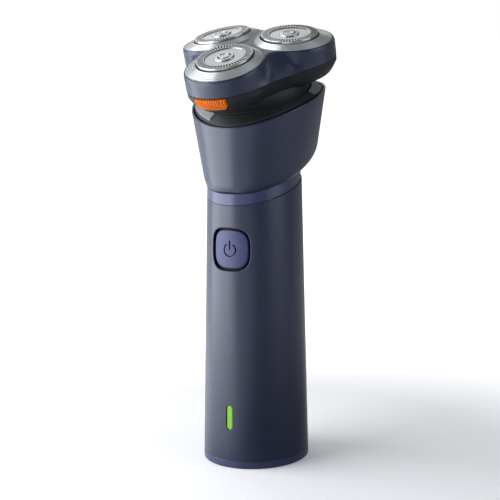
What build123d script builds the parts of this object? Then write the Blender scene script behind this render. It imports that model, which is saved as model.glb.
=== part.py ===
from build123d import *
from math import acos, cos, pi, radians, sin, sqrt, tan
import os

# A cordless rotary shaver with three cutting heads. Millimetres, +Z up, the front faces -Y, and the
# origin is the middle of the base, on the surface that the shaver stands on.

# ---------------------------------------------------------------- driving dimensions
# Handle: an oval tube whose half width and half depth shrink evenly with height.
base_half_width, base_half_depth = 19.9, 21.7
waist_height = 92.4
waist_half_width, waist_half_depth = 17.5, 20.6
handle_wall = 2.0
base_cap_height = 2.85
base_edge_round = 0.8
base_upstand_height, base_upstand_wall = 3.15, 1.2

# Power button's middle. The spigot, the band and all above them stand over it.
button_height = 83.3

# Sloping band under the collar, and the spigot that carries the collar.
spigot_over_button, band_over_spigot = 12.7, 9.2
spigot_foot_height = button_height + spigot_over_button
band_foot_height = spigot_foot_height + band_over_spigot
band_tilt = 15.1
band_height = 4.4
band_depth = 1.3
band_reveal = 0.4
band_window_half_angle = 51.0
spigot_wall = 1.6
spigot_rise = 2.4

# Collar: three oval sections, each on its own sloping plane, and an arched rim.
collar_lip = 0.35
corner_over_band, rim_over_corner = 4.2, 25.3
corner_height = band_foot_height + band_height + corner_over_band
rim_height = corner_height + rim_over_corner
corner_tilt, corner_back = 20.0, 5.3
corner_half_width, corner_half_depth = 19.9, 26.4
rim_tilt, rim_back = 15.8, 3.7
rim_half_width, rim_half_depth = 24.8, 27.8
rim_crown = 2.7
rim_spare = 6.0
collar_wall, rim_wall = 2.0, 1.1
corner_round = 5.0

# Head: everything above the collar is built on one plane that leans towards the front.
head_tilt = 19.1
head_back, head_over_rim = -6.96, 20.45
head_height = rim_height + head_over_rim
head_circle = 16.58
head_splay = 5.5
head_angles = (-90, 30, 150)

# Deck in the collar's mouth, and the neck that stands in it.
deck_level, deck_radius, deck_seat_radius = -20.4, 21.6, 19.4
deck_fall, deck_wall = 9.5, 1.6
flange_top, flange_thickness = -22.4, 1.6
shaft_hole = 6.4
pad_thickness, pad_gap = 0.5, 0.35
pad_direction, pad_half_length = 41.0, 12.6
neck_profile = ((21.4, -20.4), (20.2, -18.8), (19.4, -17.0), (19.4, -15.8))
neck_wall = 1.6
neck_post_circle, neck_post_radius = 13.0, 2.3
motor_post_circle, motor_post_radius = 14.0, 2.4

# Head tray: (level, reach, lobe radius, hollow radius) of its outline from the seam downwards.
seam_level = -10.34
tray_sections = (
    (seam_level, 17.5, 15.2, 112.0),
    (-12.3, 17.4, 15.1, 40.0),
    (-15.7, 17.0, 13.1, 40.0),
    (-16.9, 15.5, 11.9, 30.0),
    (-18.4, 12.5, 10.5, 30.0),
)
tray_wall = 1.4
tray_floor_top, tray_floor_thickness = -14.2, 1.6
cover_top, cover_thickness, cover_gap = -10.7, 0.8, 0.3
cover_front, prong_front, prong_width, prong_spread = 25.9, 27.5, 1.6, 9.6
cover_post_circle, cover_post_radius = 16.8, 1.5
seal_radius, seal_thickness, seal_wall = 4.5, 1.8, 1.2
floor_shaft_hole = 1.4

# Gear train: a pinion on the motor shaft drives three gears, one under each cutter.
gear_module = 0.5
pinion_teeth, gear_teeth = 22, 42
pressure_angle = 20.0
backlash = 0.14
gear_bottom, gear_thickness = -13.8, 2.0
axle_radius, axle_top = 1.2, -12.9
running_fit = 0.05
axle_end_gap = 0.1
gear_web = 0.5
boss_radius, boss_bore, boss_top = 3.4, 2.6, -8.9
boss_lip, boss_lip_radius, boss_hole_gap = 0.5, 1.7, 0.4
shaft_radius = 1.0

# Drive spindles and their springs.
spindle_stem_radius = 1.4
spindle_flange_radius, spindle_flange_top, spindle_flange_thickness = 2.4, -9.7, 0.7
ball_radius, ball_key, ball_depth = 1.8, 2.7, 6.0
spring_wire, spring_radius, spring_turns = 0.3, 1.95, 3

# Cutting heads, on planes through the guards' rims.
guard_radius, guard_wall, guard_plate = 10.62, 0.4, 0.38
guard_dish, dish_foot_radius, dish_top_radius = 0.4, 7.2, 7.6
guard_centre_hole = 1.5
guard_edge_round = 0.3
guard_flange_radius, guard_flange_top, guard_flange_thickness = 11.5, -2.5, 0.5
slot_count, slot_width, slot_start, slot_end = 60, 0.38, 7.95, 10.1
cap_radius, cap_rise, cap_bevel, cap_stem_length = 3.7, 0.5, 0.3, 0.8
cap_ring_radius, cap_ring_width, cap_ring_height = 1.9, 0.5, 0.15
cutter_disc_radius, cutter_disc_top, cutter_disc_thickness = 9.8, -2.0, 0.7
blade_count, blade_thickness, blade_inner_radius, blade_gap = 15, 0.55, 8.0, 0.05
cutter_hub_radius, cutter_hub_bottom = 3.6, -7.2
socket_key, socket_top, socket_mouth_radius, socket_mouth_depth = 3.45, -3.8, 2.9, 1.2
cutter_window_count, cutter_window_radius, cutter_window_circle = 6, 1.4, 5.9
ring_radius, ring_shift, ring_edge_level = 14.5, 1.2, -2.4
ring_hole_radius, ring_top_level = 11.05, -0.95
ring_foot_level, ring_underside_level = -3.65, -2.2
ring_inner_radius, ring_inner_shift = 13.3, 0.9

# Head frame: the lobed housing of the shaving unit, its retaining frame and the lock.
frame_seam_gap = 0.14
frame_sections = ((-4.4, 17.7, 15.12, 12.0), (-0.6, 17.7, 15.1, 3.5))
frame_wall = 1.8
frame_roof_level, frame_roof_reach, frame_roof_lobe, frame_roof_hollow = -7.5, 17.6, 13.35, 18.0
frame_hole_radius = 12.2
frame_edge_round = 0.8
retainer_outer, retainer_wall = 12.0, 1.0
retainer_top, retainer_bottom = -4.2, -9.0
retainer_lip, retainer_lip_thickness = 0.7, 0.8
hub_radius, hub_top, hub_thickness = 6.5, -7.6, 1.0
lock_length, lock_width, lock_thickness, lock_gap = 9.0, 3.4, 1.2, 0.1
lock_shaft_radius, lock_shaft_top = 1.3, -4.0

# Hinge at the back of the seam.
hinge_back = 25.2
hinge_pin_radius, knuckle_radius = 0.8, 1.7
tray_knuckle_half, frame_knuckle_length, knuckle_gap = 3.2, 4.0, 0.3
hinge_root = 21.9

# Release button in the front of the tray, its hook and the leaf spring behind it.
release_half_width, release_foot_half_width = 6.3, 4.9
release_top, release_shoulder, release_bottom = -10.75, -13.4, -15.0
release_side_gap, release_proud = 0.3, 0.6
release_depth, release_flange_half_width, release_flange_bottom = 1.0, 7.6, -13.9
rib_count, rib_groove_width, rib_groove_depth = 14, 0.42, 0.35
release_pocket = 25.2
hook_half_width, hook_front, hook_back, hook_top = 3.0, 30.3, 29.1, -8.4
hook_nose, hook_nose_height = 0.1, 0.7
latch_half_width, latch_front, latch_bottom, latch_thickness = 3.5, 30.6, -10.0, 0.7
leaf_half_length, leaf_thickness, leaf_bottom, leaf_height = 5.4, 0.25, -11.7, 0.8
leaf_front, leaf_end = 29.8, 27.75

# Motor, hung under the deck on the head's own axis.
motor_radius, motor_top, motor_length, can_wall = 8.4, -27.0, 20.0, 0.8
motor_boss_radius, motor_boss_height = 3.0, 1.0
motor_plate_thickness, motor_plate_radius = 1.4, 17.0
end_cap_flange, end_cap_plug, end_cap_boss_radius, end_cap_boss_length = 1.0, 1.0, 3.5, 2.0
motor_screw_circle = 5.5
rotor_radius, rotor_length, rotor_foot = 5.6, 12.0, 3.0
magnet_gap, magnet_half_angle = 0.4, 65.0

# Screws: (shank radius, head radius, head height).
small_screw = (0.9, 1.6, 1.0)
base_screw = (1.2, 2.1, 1.2)
neck_screw_length, motor_post_screw_length, motor_screw_length = 7.0, 4.0, 3.0
cover_screw_length, board_screw_length, base_screw_length = 3.0, 6.0, 6.0

# Front of the handle: power button and indicator.
button_opening_width, button_opening_height, button_opening_round = 15.7, 16.0, 5.2
button_side_gap = 0.85
button_recess, button_travel = 0.7, 0.6
button_flange_overlap, button_flange_gap, button_flange_thickness = 0.9, 0.15, 0.8
button_stem_radius, button_stem_gap = 1.6, 0.1
gasket_gap, gasket_width, gasket_thickness = 0.3, 1.6, 1.0
indicator_height, indicator_length, indicator_width = 19.45, 9.5, 2.6
indicator_recess = 0.35

# Inside the handle.
board_front, board_thickness, board_half_width = -13.6, 1.2, 8.8
shelf_over_button = 8.7
top_shelf_height = button_height + shelf_over_button
board_bottom, board_top = 11.0, top_shelf_height
switch_size, switch_height, switch_bore, switch_bore_depth = 6.2, 2.8, 1.75, 1.2
lamp_width, lamp_length, lamp_height, lamp_gap = 2.0, 4.0, 2.2, 0.3
chassis_gap = 0.3
spine_front, spine_thickness, spine_half_width = 5.2, 2.0, 9.0
shelf_thickness, middle_shelf_height = 2.0, 60.5
cell_radius, cell_length, cell_back = 7.1, 49.0, -3.0
contact_width, contact_thickness, contact_button_radius = 8.0, 0.4, 3.0
board_screw_spread, board_boss_radius, board_boss_length = 14.0, 2.2, 8.0
leg_spread, leg_back, leg_radius = 22.0, -2.0, 2.8
base_screw_recess = 1.8
inlet_back, inlet_half_width, inlet_half_depth = 12.5, 6.2, 3.9
inlet_recess, inlet_height = 0.6, 11.0
inlet_opening_half_width, inlet_opening_half_depth, inlet_opening_depth = 4.8, 2.5, 9.0
inlet_opening_round = 1.6
pin_radius, pin_spacing, pin_length = 0.55, 5.4, 7.0

# ---------------------------------------------------------------- planes and helpers
head = Plane(
    origin=(0, head_back, head_height),
    x_dir=(1, 0, 0),
    z_dir=(0, -sin(radians(head_tilt)), cos(radians(head_tilt))),
)
gear_centre_distance = gear_module * (pinion_teeth + gear_teeth) / 2


def leaning(tilt, back, height):
    """Plane that faces up and leans to the front by a tilt, through a point behind the axis."""
    lean = radians(tilt)
    return Plane(origin=(0, back, height), x_dir=(1, 0, 0), z_dir=(0, -sin(lean), cos(lean)))


def around(base, angle, reach, splay=0.0):
    """Plane moved out from a base plane at an angle, its x axis pointing away from the middle."""
    turn = Location((0, 0, 0), (0, 0, angle))
    return Plane(base.location * turn * Location((reach, 0, 0), (0, splay, 0)))


def polar(radius, angle):
    """Flat point at a radius and an angle in degrees."""
    return radius * cos(radians(angle)), radius * sin(radians(angle))


def handle_half_width(height):
    return base_half_width - (base_half_width - waist_half_width) * height / waist_height


def handle_half_depth(height):
    return base_half_depth - (base_half_depth - waist_half_depth) * height / waist_height


def oval(height, inset=0.0):
    """Outline of the handle at a height, pulled in by an inset."""
    with BuildSketch(Plane.XY.offset(height)) as outline:
        Ellipse(handle_half_width(height) - inset, handle_half_depth(height) - inset)
    return outline.sketch


def oval_body(low, high, inset=0.0):
    """Solid length of the tapered handle, pulled in by an inset."""
    with BuildPart() as body:
        loft(sections=[oval(low, inset), oval(high, inset)])
    return body.part


def collar_body(inset_low, inset_high):
    """Solid inside the collar's surface, from its foot over its corner to some way above its rim."""
    spare = rim_spare / (rim_height - corner_height)
    foot = leaning(band_tilt, 0, band_foot_height + band_height)
    corner = leaning(corner_tilt, corner_back, corner_height)
    rim = leaning(rim_tilt, rim_back + spare * (rim_back - corner_back), rim_height + rim_spare)
    rim_width = rim_half_width + spare * (rim_half_width - corner_half_width)
    rim_depth = rim_half_depth + spare * (rim_half_depth - corner_half_depth)
    foot_width = handle_half_width(foot.origin.Z) + collar_lip
    foot_depth = handle_half_depth(foot.origin.Z) + collar_lip
    sections = (
        (foot, foot_width, foot_depth / cos(radians(band_tilt)), inset_low),
        (corner, corner_half_width, corner_half_depth / cos(radians(corner_tilt)), inset_low),
        (rim, rim_width, rim_depth / cos(radians(rim_tilt)), inset_high),
    )
    outlines = []
    for base, half_width, half_depth, inset in sections:
        with BuildSketch(base) as outline:
            Ellipse(half_width - inset, half_depth - inset)
        outlines.append(outline.sketch)
    with BuildPart() as body:
        loft(sections=outlines, ruled=True)
    return body.part


def lobed(base, reach, lobe, hollow):
    """Outline of three lobes round the middle of a plane, joined by hollow arcs.

    reach is from the middle to each lobe's centre, lobe its radius, hollow the radius between."""
    half_spacing = reach * sin(radians(60))
    hollow_reach = reach * cos(radians(60)) + sqrt((lobe + hollow) ** 2 - half_spacing**2)
    with BuildSketch(base) as outline:
        with BuildLine():
            for angle in head_angles:
                centre = Vector(*polar(reach, angle))
                next_centre = Vector(*polar(reach, angle + 120))
                before = Vector(*polar(hollow_reach, angle - 60))
                after = Vector(*polar(hollow_reach, angle + 60))
                start = centre + (before - centre).normalized() * lobe
                end = centre + (after - centre).normalized() * lobe
                next_start = next_centre + (after - next_centre).normalized() * lobe
                ThreePointArc(start, Vector(*polar(reach + lobe, angle)), end)
                ThreePointArc(end, Vector(*polar(hollow_reach - hollow, angle + 60)), next_start)
        make_face()
    return outline.sketch


def tray_body(grow=0.0):
    """Solid bowl of the head tray, with its lobes grown outwards."""
    with BuildPart() as body:
        outlines = [
            lobed(head.offset(level), reach, lobe + grow, hollow - grow)
            for level, reach, lobe, hollow in tray_sections
        ]
        loft(sections=outlines, ruled=True)
    return body.part


def turned(base, profile):
    """Solid turned about a plane's z axis from a closed profile of (radius, height) points."""
    with BuildPart() as body:
        with BuildSketch(Plane(origin=base.origin, x_dir=base.x_dir, z_dir=-base.y_dir)):
            with BuildLine():
                Polyline(*profile, close=True)
            make_face()
        revolve(axis=Axis(base.origin, base.z_dir))
    return body.part


def drum(base, low, high, radius, bore=0.0):
    """Round solid on a plane's axis between two heights, with a bore through it if one is given."""
    with BuildPart() as body:
        with BuildSketch(base.offset(low)):
            Circle(radius)
            if bore:
                Circle(bore, mode=Mode.SUBTRACT)
        extrude(amount=high - low)
    return body.part


def wedge(base, low, high, middle, half_angle, reach=60.0):
    """Slice of a plane's surroundings about one direction, between two heights."""
    start, end = polar(reach, middle - half_angle), polar(reach, middle + half_angle)
    with BuildPart() as body:
        with BuildSketch(base.offset(low)):
            with BuildLine():
                Polyline((0, 0), start, polar(reach / cos(radians(half_angle)), middle), end, close=True)
            make_face()
        extrude(amount=high - low)
    return body.part


def screw(base, size, length):
    """Pan head screw whose head stands on a plane and whose shank runs down from it."""
    shank, head_radius, head_height = size
    recess_width, recess_depth = shank * 0.5, head_height * 0.5
    with BuildPart() as body:
        add(turned(base, [(0, -length), (shank, -length), (shank, 0), (head_radius, 0),
                          (head_radius, head_height * 0.6), (head_radius * 0.6, head_height),
                          (0, head_height)]))
        with BuildSketch(base.offset(head_height - recess_depth)):
            Rectangle(head_radius, recess_width)
            Rectangle(recess_width, head_radius)
        extrude(amount=recess_depth, mode=Mode.SUBTRACT)
    return body.part


def involute(angle):
    return tan(angle) - angle


def gear_sketch(base, teeth, turn):
    """Outline of a spur gear whose first tooth points at an angle."""
    pitch_radius = gear_module * teeth / 2
    base_radius = pitch_radius * cos(radians(pressure_angle))
    root_radius = pitch_radius - 1.25 * gear_module
    tip_radius = pitch_radius + gear_module
    half_tooth = pi / (2 * teeth) - backlash / (2 * pitch_radius)
    flank = []
    steps = 3
    start_radius = max(root_radius, base_radius)
    for step in range(steps + 1):
        radius = start_radius + (tip_radius - start_radius) * step / steps
        lean = involute(radians(pressure_angle)) - involute(acos(min(1.0, base_radius / radius)))
        flank.append((radius, (half_tooth + lean) * 180 / pi))
    if start_radius > root_radius:
        flank.insert(0, (root_radius, flank[0][1]))
    points = []
    for tooth in range(teeth):
        middle = turn + tooth * 360 / teeth
        points += [polar(radius, middle - half) for radius, half in flank]
        points += [polar(radius, middle + half) for radius, half in reversed(flank)]
    with BuildSketch(base) as outline:
        with BuildLine():
            Polyline(*points, close=True)
        make_face()
    return outline.sketch


def finish(piece, name):
    """Label a finished piece and write it out."""
    piece.part.label = name
    export_step(piece.part, f"parts/{name}.step")


os.makedirs("parts", exist_ok=True)
head_planes = [around(head, angle, head_circle, head_splay) for angle in head_angles]
gear_planes = [around(head, angle, gear_centre_distance) for angle in head_angles]

# ---------------------------------------------------------------- handle and band
band_foot = leaning(band_tilt, 0, band_foot_height)
collar_foot = leaning(band_tilt, 0, band_foot_height + band_height)
spigot_end = leaning(band_tilt, 0, band_foot_height + band_height + spigot_rise)
above_band = spigot_end.origin.Z + base_half_depth

with BuildPart() as spigot_core:
    add(oval_body(spigot_foot_height, above_band, band_depth))
    split(bisect_by=spigot_end, keep=Keep.BOTTOM)

with BuildPart() as handle_shell:
    add(oval_body(base_cap_height, above_band))
    split(bisect_by=band_foot, keep=Keep.BOTTOM)
    add(spigot_core.part)
    add(oval_body(base_cap_height, spigot_foot_height, handle_wall), mode=Mode.SUBTRACT)
    add(oval_body(spigot_foot_height, above_band, band_depth + spigot_wall), mode=Mode.SUBTRACT)
    with BuildSketch(Plane.XZ):
        with Locations((0, button_height)):
            RectangleRounded(button_opening_width, button_opening_height, button_opening_round)
        with Locations((0, indicator_height)):
            SlotOverall(indicator_length, indicator_width, rotation=90)
    extrude(amount=base_half_depth, mode=Mode.SUBTRACT)
finish(handle_shell, "handle_shell")

with BuildPart() as band_zone:
    add(oval_body(spigot_foot_height, above_band))
    split(bisect_by=band_foot, keep=Keep.TOP)
    split(bisect_by=collar_foot, keep=Keep.BOTTOM)
    add(spigot_core.part, mode=Mode.SUBTRACT)

window_slice = wedge(Plane.XY, spigot_foot_height, above_band, -90, band_window_half_angle)

with BuildPart() as neck_window:
    add(band_zone.part)
    add(window_slice, mode=Mode.INTERSECT)
finish(neck_window, "neck_window")

with BuildPart() as neck_ring:
    add(band_zone.part)
    add(oval_body(spigot_foot_height, above_band, band_reveal), mode=Mode.INTERSECT)
    add(window_slice, mode=Mode.SUBTRACT)
finish(neck_ring, "neck_ring")

# ---------------------------------------------------------------- collar and deck
rim_plane = leaning(rim_tilt, rim_back, rim_height)
rim_local_half_depth = rim_half_depth / cos(radians(rim_tilt))
rim_arch_radius = (rim_local_half_depth**2 + rim_crown**2) / (2 * rim_crown)
arch_plane = Plane(origin=rim_plane.origin, x_dir=rim_plane.y_dir, z_dir=rim_plane.x_dir)

with BuildPart() as collar:
    add(collar_body(0, 0))
    fillet(collar.edges().filter_by(GeomType.ELLIPSE).sort_by(Axis.Z)[1], corner_round)
    add(collar_body(collar_wall, rim_wall), mode=Mode.SUBTRACT)
    add(spigot_core.part, mode=Mode.SUBTRACT)
    with BuildSketch(arch_plane):
        with Locations((0, -rim_arch_radius)):
            Circle(rim_arch_radius)
    extrude(amount=base_half_depth * 2, both=True, mode=Mode.INTERSECT)
finish(collar, "collar")

cone_run = deck_radius + deck_fall
cone_wall = deck_wall * sqrt(2)
flange_bottom = flange_top - flange_thickness
plate_top = motor_top + motor_plate_thickness
with BuildPart() as deck:
    add(turned(head, [
        (shaft_hole, flange_top),
        (deck_seat_radius, flange_top),
        (deck_seat_radius, deck_level),
        (deck_radius, deck_level),
        (cone_run, deck_level - deck_fall),
        (cone_run, deck_level - deck_fall - cone_wall),
        (deck_radius + deck_level - cone_wall - flange_bottom, flange_bottom),
        (shaft_hole, flange_bottom),
    ]))
    add(collar_body(collar_wall, rim_wall), mode=Mode.INTERSECT)
    for angle in (30, 150, 270):
        post = around(head, angle, motor_post_circle)
        add(drum(post, plate_top, flange_bottom, motor_post_radius))
        add(drum(post, motor_top, motor_top + motor_post_screw_length, small_screw[0]), mode=Mode.SUBTRACT)
    for angle in (90, 210, 330):
        post = around(head, angle, neck_post_circle)
        add(drum(post, flange_bottom, flange_top, small_screw[0]), mode=Mode.SUBTRACT)
finish(deck, "deck")

pad_rise = pad_thickness / sqrt(2)
with BuildPart() as deck_pads:
    add(turned(head, [
        (deck_radius, deck_level),
        (cone_run, deck_level - deck_fall),
        (cone_run + pad_rise, deck_level - deck_fall + pad_rise),
        (deck_radius + pad_rise, deck_level + pad_rise),
    ]))
    with BuildSketch(around(head, pad_direction, 0).offset(deck_level - deck_fall)):
        Rectangle(3 * cone_run, 2 * pad_half_length)
    extrude(amount=deck_fall + pad_thickness, mode=Mode.INTERSECT)
    add(collar_body(collar_wall + pad_gap, rim_wall + pad_gap), mode=Mode.INTERSECT)
    add(turned(head, [(0, deck_level), (deck_radius + pad_gap, deck_level),
                      (deck_radius + pad_gap, deck_level + pad_rise), (0, deck_level + pad_rise)]),
        mode=Mode.SUBTRACT)
finish(deck_pads, "deck_pads")

# ---------------------------------------------------------------- front of the handle


def front_shape(width, height, middle, corner):
    """Rounded rectangle cut from the front half of space, seen square from the front."""
    with BuildPart() as body:
        with BuildSketch(Plane.XZ):
            with Locations((0, middle)):
                RectangleRounded(width, height, corner)
        extrude(amount=base_half_depth)
    return body.part


def layer(shape, outer_inset, inner_inset):
    """The part of a shape that lies between two insets under the handle's surface."""
    low, high = base_cap_height, spigot_foot_height
    with BuildPart() as body:
        add(shape)
        add(oval_body(low, high, outer_inset), mode=Mode.INTERSECT)
        add(oval_body(low, high, inner_inset), mode=Mode.SUBTRACT)
    return body.part


button_width = button_opening_width - 2 * button_side_gap
button_tall = button_opening_height - 2 * button_side_gap
button_round = button_opening_round - button_side_gap
flange_width = button_opening_width + 2 * button_flange_overlap
flange_tall = button_opening_height + 2 * button_flange_overlap
flange_inset = handle_wall + button_flange_gap
button_back_inset = flange_inset + button_flange_thickness
switch_front = board_front - switch_height
stem_tip = switch_front + switch_bore_depth - button_stem_gap - button_travel
button_surface = handle_half_depth(button_height) - button_back_inset

with BuildPart() as power_button:
    add(layer(front_shape(button_width, button_tall, button_height, button_round),
              button_recess, button_back_inset))
    add(layer(front_shape(flange_width, flange_tall, button_height, button_opening_round),
              flange_inset, button_back_inset))
    with BuildSketch(Plane.XZ.offset(-stem_tip)):
        with Locations((0, button_height)):
            Circle(button_stem_radius)
    extrude(amount=stem_tip + button_surface + button_flange_thickness / 2)
finish(power_button, "power_button")

with BuildPart() as button_gasket:
    add(layer(front_shape(
        flange_width + 2 * (gasket_gap + gasket_width),
        flange_tall + 2 * (gasket_gap + gasket_width),
        button_height, button_opening_round + gasket_width,
    ), handle_wall, handle_wall + gasket_thickness))
    add(front_shape(flange_width + 2 * gasket_gap, flange_tall + 2 * gasket_gap,
                    button_height, button_opening_round), mode=Mode.SUBTRACT)
finish(button_gasket, "button_gasket")

lamp_front = board_front - lamp_height
with BuildPart() as indicator_lens:
    with BuildSketch(Plane.XZ.offset(-lamp_front + lamp_gap)):
        with Locations((0, indicator_height)):
            SlotOverall(indicator_length, indicator_width, rotation=90)
    extrude(amount=base_half_depth)
    add(oval_body(base_cap_height, spigot_foot_height, indicator_recess), mode=Mode.INTERSECT)
finish(indicator_lens, "indicator_lens")

# ---------------------------------------------------------------- inside the handle
board_back = board_front + board_thickness
upstand_top = base_cap_height + base_upstand_height
middle_shelf_level = middle_shelf_height + shelf_thickness / 2
screw_heights = (middle_shelf_level, top_shelf_height - board_boss_radius / 2)


def facing_front(height, spread, back):
    """Planes that face the front at both sides of the middle."""
    return [Plane(origin=(side * spread / 2, back, height), x_dir=(1, 0, 0), z_dir=(0, -1, 0))
            for side in (-1, 1)]


board_screw_planes = [plane for height in screw_heights
                      for plane in facing_front(height, board_screw_spread, board_front)]
leg_planes = [Plane(origin=(side * leg_spread / 2, leg_back, base_screw_recess),
                    x_dir=(1, 0, 0), z_dir=(0, 0, -1)) for side in (-1, 1)]
inlet_box = Box(2 * inlet_half_width, 2 * inlet_half_depth, inlet_height,
                align=(Align.CENTER, Align.CENTER, Align.MIN)).moved(
                    Location((0, inlet_back, inlet_recess)))

with BuildPart() as chassis:
    for low in (upstand_top, middle_shelf_height, top_shelf_height):
        add(oval_body(low, low + shelf_thickness, handle_wall + chassis_gap))
    with BuildSketch(Plane.XY.offset(upstand_top + shelf_thickness)):
        with Locations((0, (board_back - base_half_depth * 2) / 2)):
            Rectangle(base_half_width * 2, board_back + base_half_depth * 2)
    extrude(amount=top_shelf_height, mode=Mode.SUBTRACT)
    with BuildSketch(Plane.XY.offset(upstand_top)):
        with Locations((0, spine_front + spine_thickness / 2)):
            Rectangle(2 * spine_half_width, spine_thickness)
    extrude(amount=top_shelf_height + shelf_thickness - upstand_top)
    for plane in board_screw_planes:
        add(drum(plane, -board_thickness - board_boss_length, -board_thickness, board_boss_radius))
    for plane in leg_planes:
        add(drum(plane, base_screw_recess - upstand_top, base_screw_recess - base_cap_height, leg_radius))
    for plane in board_screw_planes:
        add(drum(plane, -board_screw_length, 0, small_screw[0]), mode=Mode.SUBTRACT)
    for plane in leg_planes:
        add(drum(plane, -base_screw_length, 0, base_screw[0]), mode=Mode.SUBTRACT)
    add(inlet_box, mode=Mode.SUBTRACT)
finish(chassis, "chassis")

with BuildPart() as circuit_board:
    with BuildSketch(Plane.XZ.offset(-board_back)):
        with Locations((0, (board_bottom + board_top) / 2)):
            Rectangle(2 * board_half_width, board_top - board_bottom)
    extrude(amount=board_thickness)
    for plane in board_screw_planes:
        add(drum(plane, -board_thickness, 0, small_screw[0]), mode=Mode.SUBTRACT)
finish(circuit_board, "circuit_board")

with BuildPart() as push_switch:
    with BuildSketch(Plane.XZ.offset(-board_front)):
        with Locations((0, button_height)):
            Rectangle(switch_size, switch_size)
    extrude(amount=switch_height)
    with BuildSketch(Plane.XZ.offset(-switch_front - switch_bore_depth)):
        with Locations((0, button_height)):
            Circle(switch_bore)
    extrude(amount=switch_bore_depth, mode=Mode.SUBTRACT)
finish(push_switch, "push_switch")

with BuildPart() as indicator_lamp:
    with BuildSketch(Plane.XZ.offset(-board_front)):
        with Locations((0, indicator_height)):
            Rectangle(lamp_width, lamp_length)
    extrude(amount=lamp_height)
finish(indicator_lamp, "indicator_lamp")

with BuildPart() as board_screws:
    for plane in board_screw_planes:
        add(screw(plane, small_screw, board_screw_length))
finish(board_screws, "board_screws")

with BuildPart() as base_screws:
    for plane in leg_planes:
        add(screw(plane, base_screw, base_screw_length))
finish(base_screws, "base_screws")

cell_low = upstand_top + shelf_thickness
cell_bottom = (cell_low + middle_shelf_height - cell_length) / 2
with BuildPart() as battery_cell:
    with BuildSketch(Plane.XY.offset(cell_bottom)):
        with Locations((0, cell_back)):
            Circle(cell_radius)
    extrude(amount=cell_length)
finish(battery_cell, "battery_cell")

with BuildPart() as battery_contacts:
    for level, up in ((cell_low, 1), (middle_shelf_height, -1)):
        contact = Plane(origin=(0, cell_back, level), x_dir=(1, 0, 0), z_dir=(0, 0, up))
        with BuildSketch(contact):
            Rectangle(contact_width, contact_width)
        extrude(amount=contact_thickness)
        with BuildSketch(contact.offset(contact_thickness)):
            Circle(contact_button_radius)
        extrude(amount=cell_bottom - cell_low - contact_thickness)
finish(battery_contacts, "battery_contacts")

inlet_ceiling = inlet_recess + inlet_opening_depth
with BuildPart() as charging_inlet:
    add(inlet_box)
    with BuildSketch(Plane.XY.offset(inlet_recess)):
        with Locations((0, inlet_back)):
            RectangleRounded(2 * inlet_opening_half_width, 2 * inlet_opening_half_depth, inlet_opening_round)
    extrude(amount=inlet_opening_depth, mode=Mode.SUBTRACT)
finish(charging_inlet, "charging_inlet")

with BuildPart() as inlet_pins:
    with BuildSketch(Plane.XY.offset(inlet_ceiling - pin_length)):
        with Locations((-pin_spacing / 2, inlet_back), (pin_spacing / 2, inlet_back)):
            Circle(pin_radius)
    extrude(amount=pin_length)
finish(inlet_pins, "inlet_pins")

with BuildPart() as base_cap:
    add(oval_body(0, base_cap_height))
    fillet(base_cap.edges().group_by(Axis.Z)[0], base_edge_round)
    add(oval_body(base_cap_height, upstand_top, handle_wall))
    add(oval_body(base_cap_height, upstand_top, handle_wall + base_upstand_wall), mode=Mode.SUBTRACT)
    for plane in leg_planes:
        add(drum(plane, 0, base_screw_recess, base_screw[1] + chassis_gap), mode=Mode.SUBTRACT)
        add(drum(plane, -base_cap_height, 0, base_screw[0]), mode=Mode.SUBTRACT)
    with BuildSketch():
        with Locations((0, inlet_back)):
            Rectangle(2 * inlet_half_width, 2 * inlet_half_depth)
    extrude(amount=base_cap_height, mode=Mode.SUBTRACT)
finish(base_cap, "base_cap")

# ---------------------------------------------------------------- motor
can_bottom = motor_top - motor_length
with BuildPart() as motor_can:
    add(turned(head, [
        (shaft_radius + running_fit, motor_top + motor_boss_height),
        (motor_boss_radius, motor_top + motor_boss_height),
        (motor_boss_radius, motor_top),
        (motor_radius, motor_top),
        (motor_radius, can_bottom),
        (motor_radius - can_wall, can_bottom),
        (motor_radius - can_wall, motor_top - can_wall),
        (shaft_radius + running_fit, motor_top - can_wall),
    ]))
    for angle in (0, 180):
        bore = around(head, angle, motor_screw_circle)
        add(drum(bore, motor_top - can_wall, motor_top, small_screw[0]), mode=Mode.SUBTRACT)
finish(motor_can, "motor_can")

cap_foot = can_bottom - end_cap_flange - end_cap_boss_length
shaft_foot = cap_foot + can_wall
with BuildPart() as motor_end_cap:
    add(turned(head, [
        (shaft_radius + running_fit, can_bottom + end_cap_plug),
        (motor_radius - can_wall, can_bottom + end_cap_plug),
        (motor_radius - can_wall, can_bottom),
        (motor_radius, can_bottom),
        (motor_radius, can_bottom - end_cap_flange),
        (end_cap_boss_radius, can_bottom - end_cap_flange),
        (end_cap_boss_radius, cap_foot),
        (0, cap_foot),
        (0, shaft_foot - axle_end_gap),
        (shaft_radius + running_fit, shaft_foot - axle_end_gap),
    ]))
finish(motor_end_cap, "motor_end_cap")

rotor_bottom = can_bottom + rotor_foot
with BuildPart() as motor_magnets:
    for angle in (90, 270):
        with BuildSketch(around(head, angle, 0).offset(rotor_bottom)):
            with BuildLine():
                outer = motor_radius - can_wall
                inner = rotor_radius + magnet_gap
                ThreePointArc(polar(outer, -magnet_half_angle), (outer, 0), polar(outer, magnet_half_angle))
                Line(polar(outer, magnet_half_angle), polar(inner, magnet_half_angle))
                ThreePointArc(polar(inner, magnet_half_angle), (inner, 0), polar(inner, -magnet_half_angle))
                Line(polar(inner, -magnet_half_angle), polar(outer, -magnet_half_angle))
            make_face()
        extrude(amount=rotor_length)
finish(motor_magnets, "motor_magnets")

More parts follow.
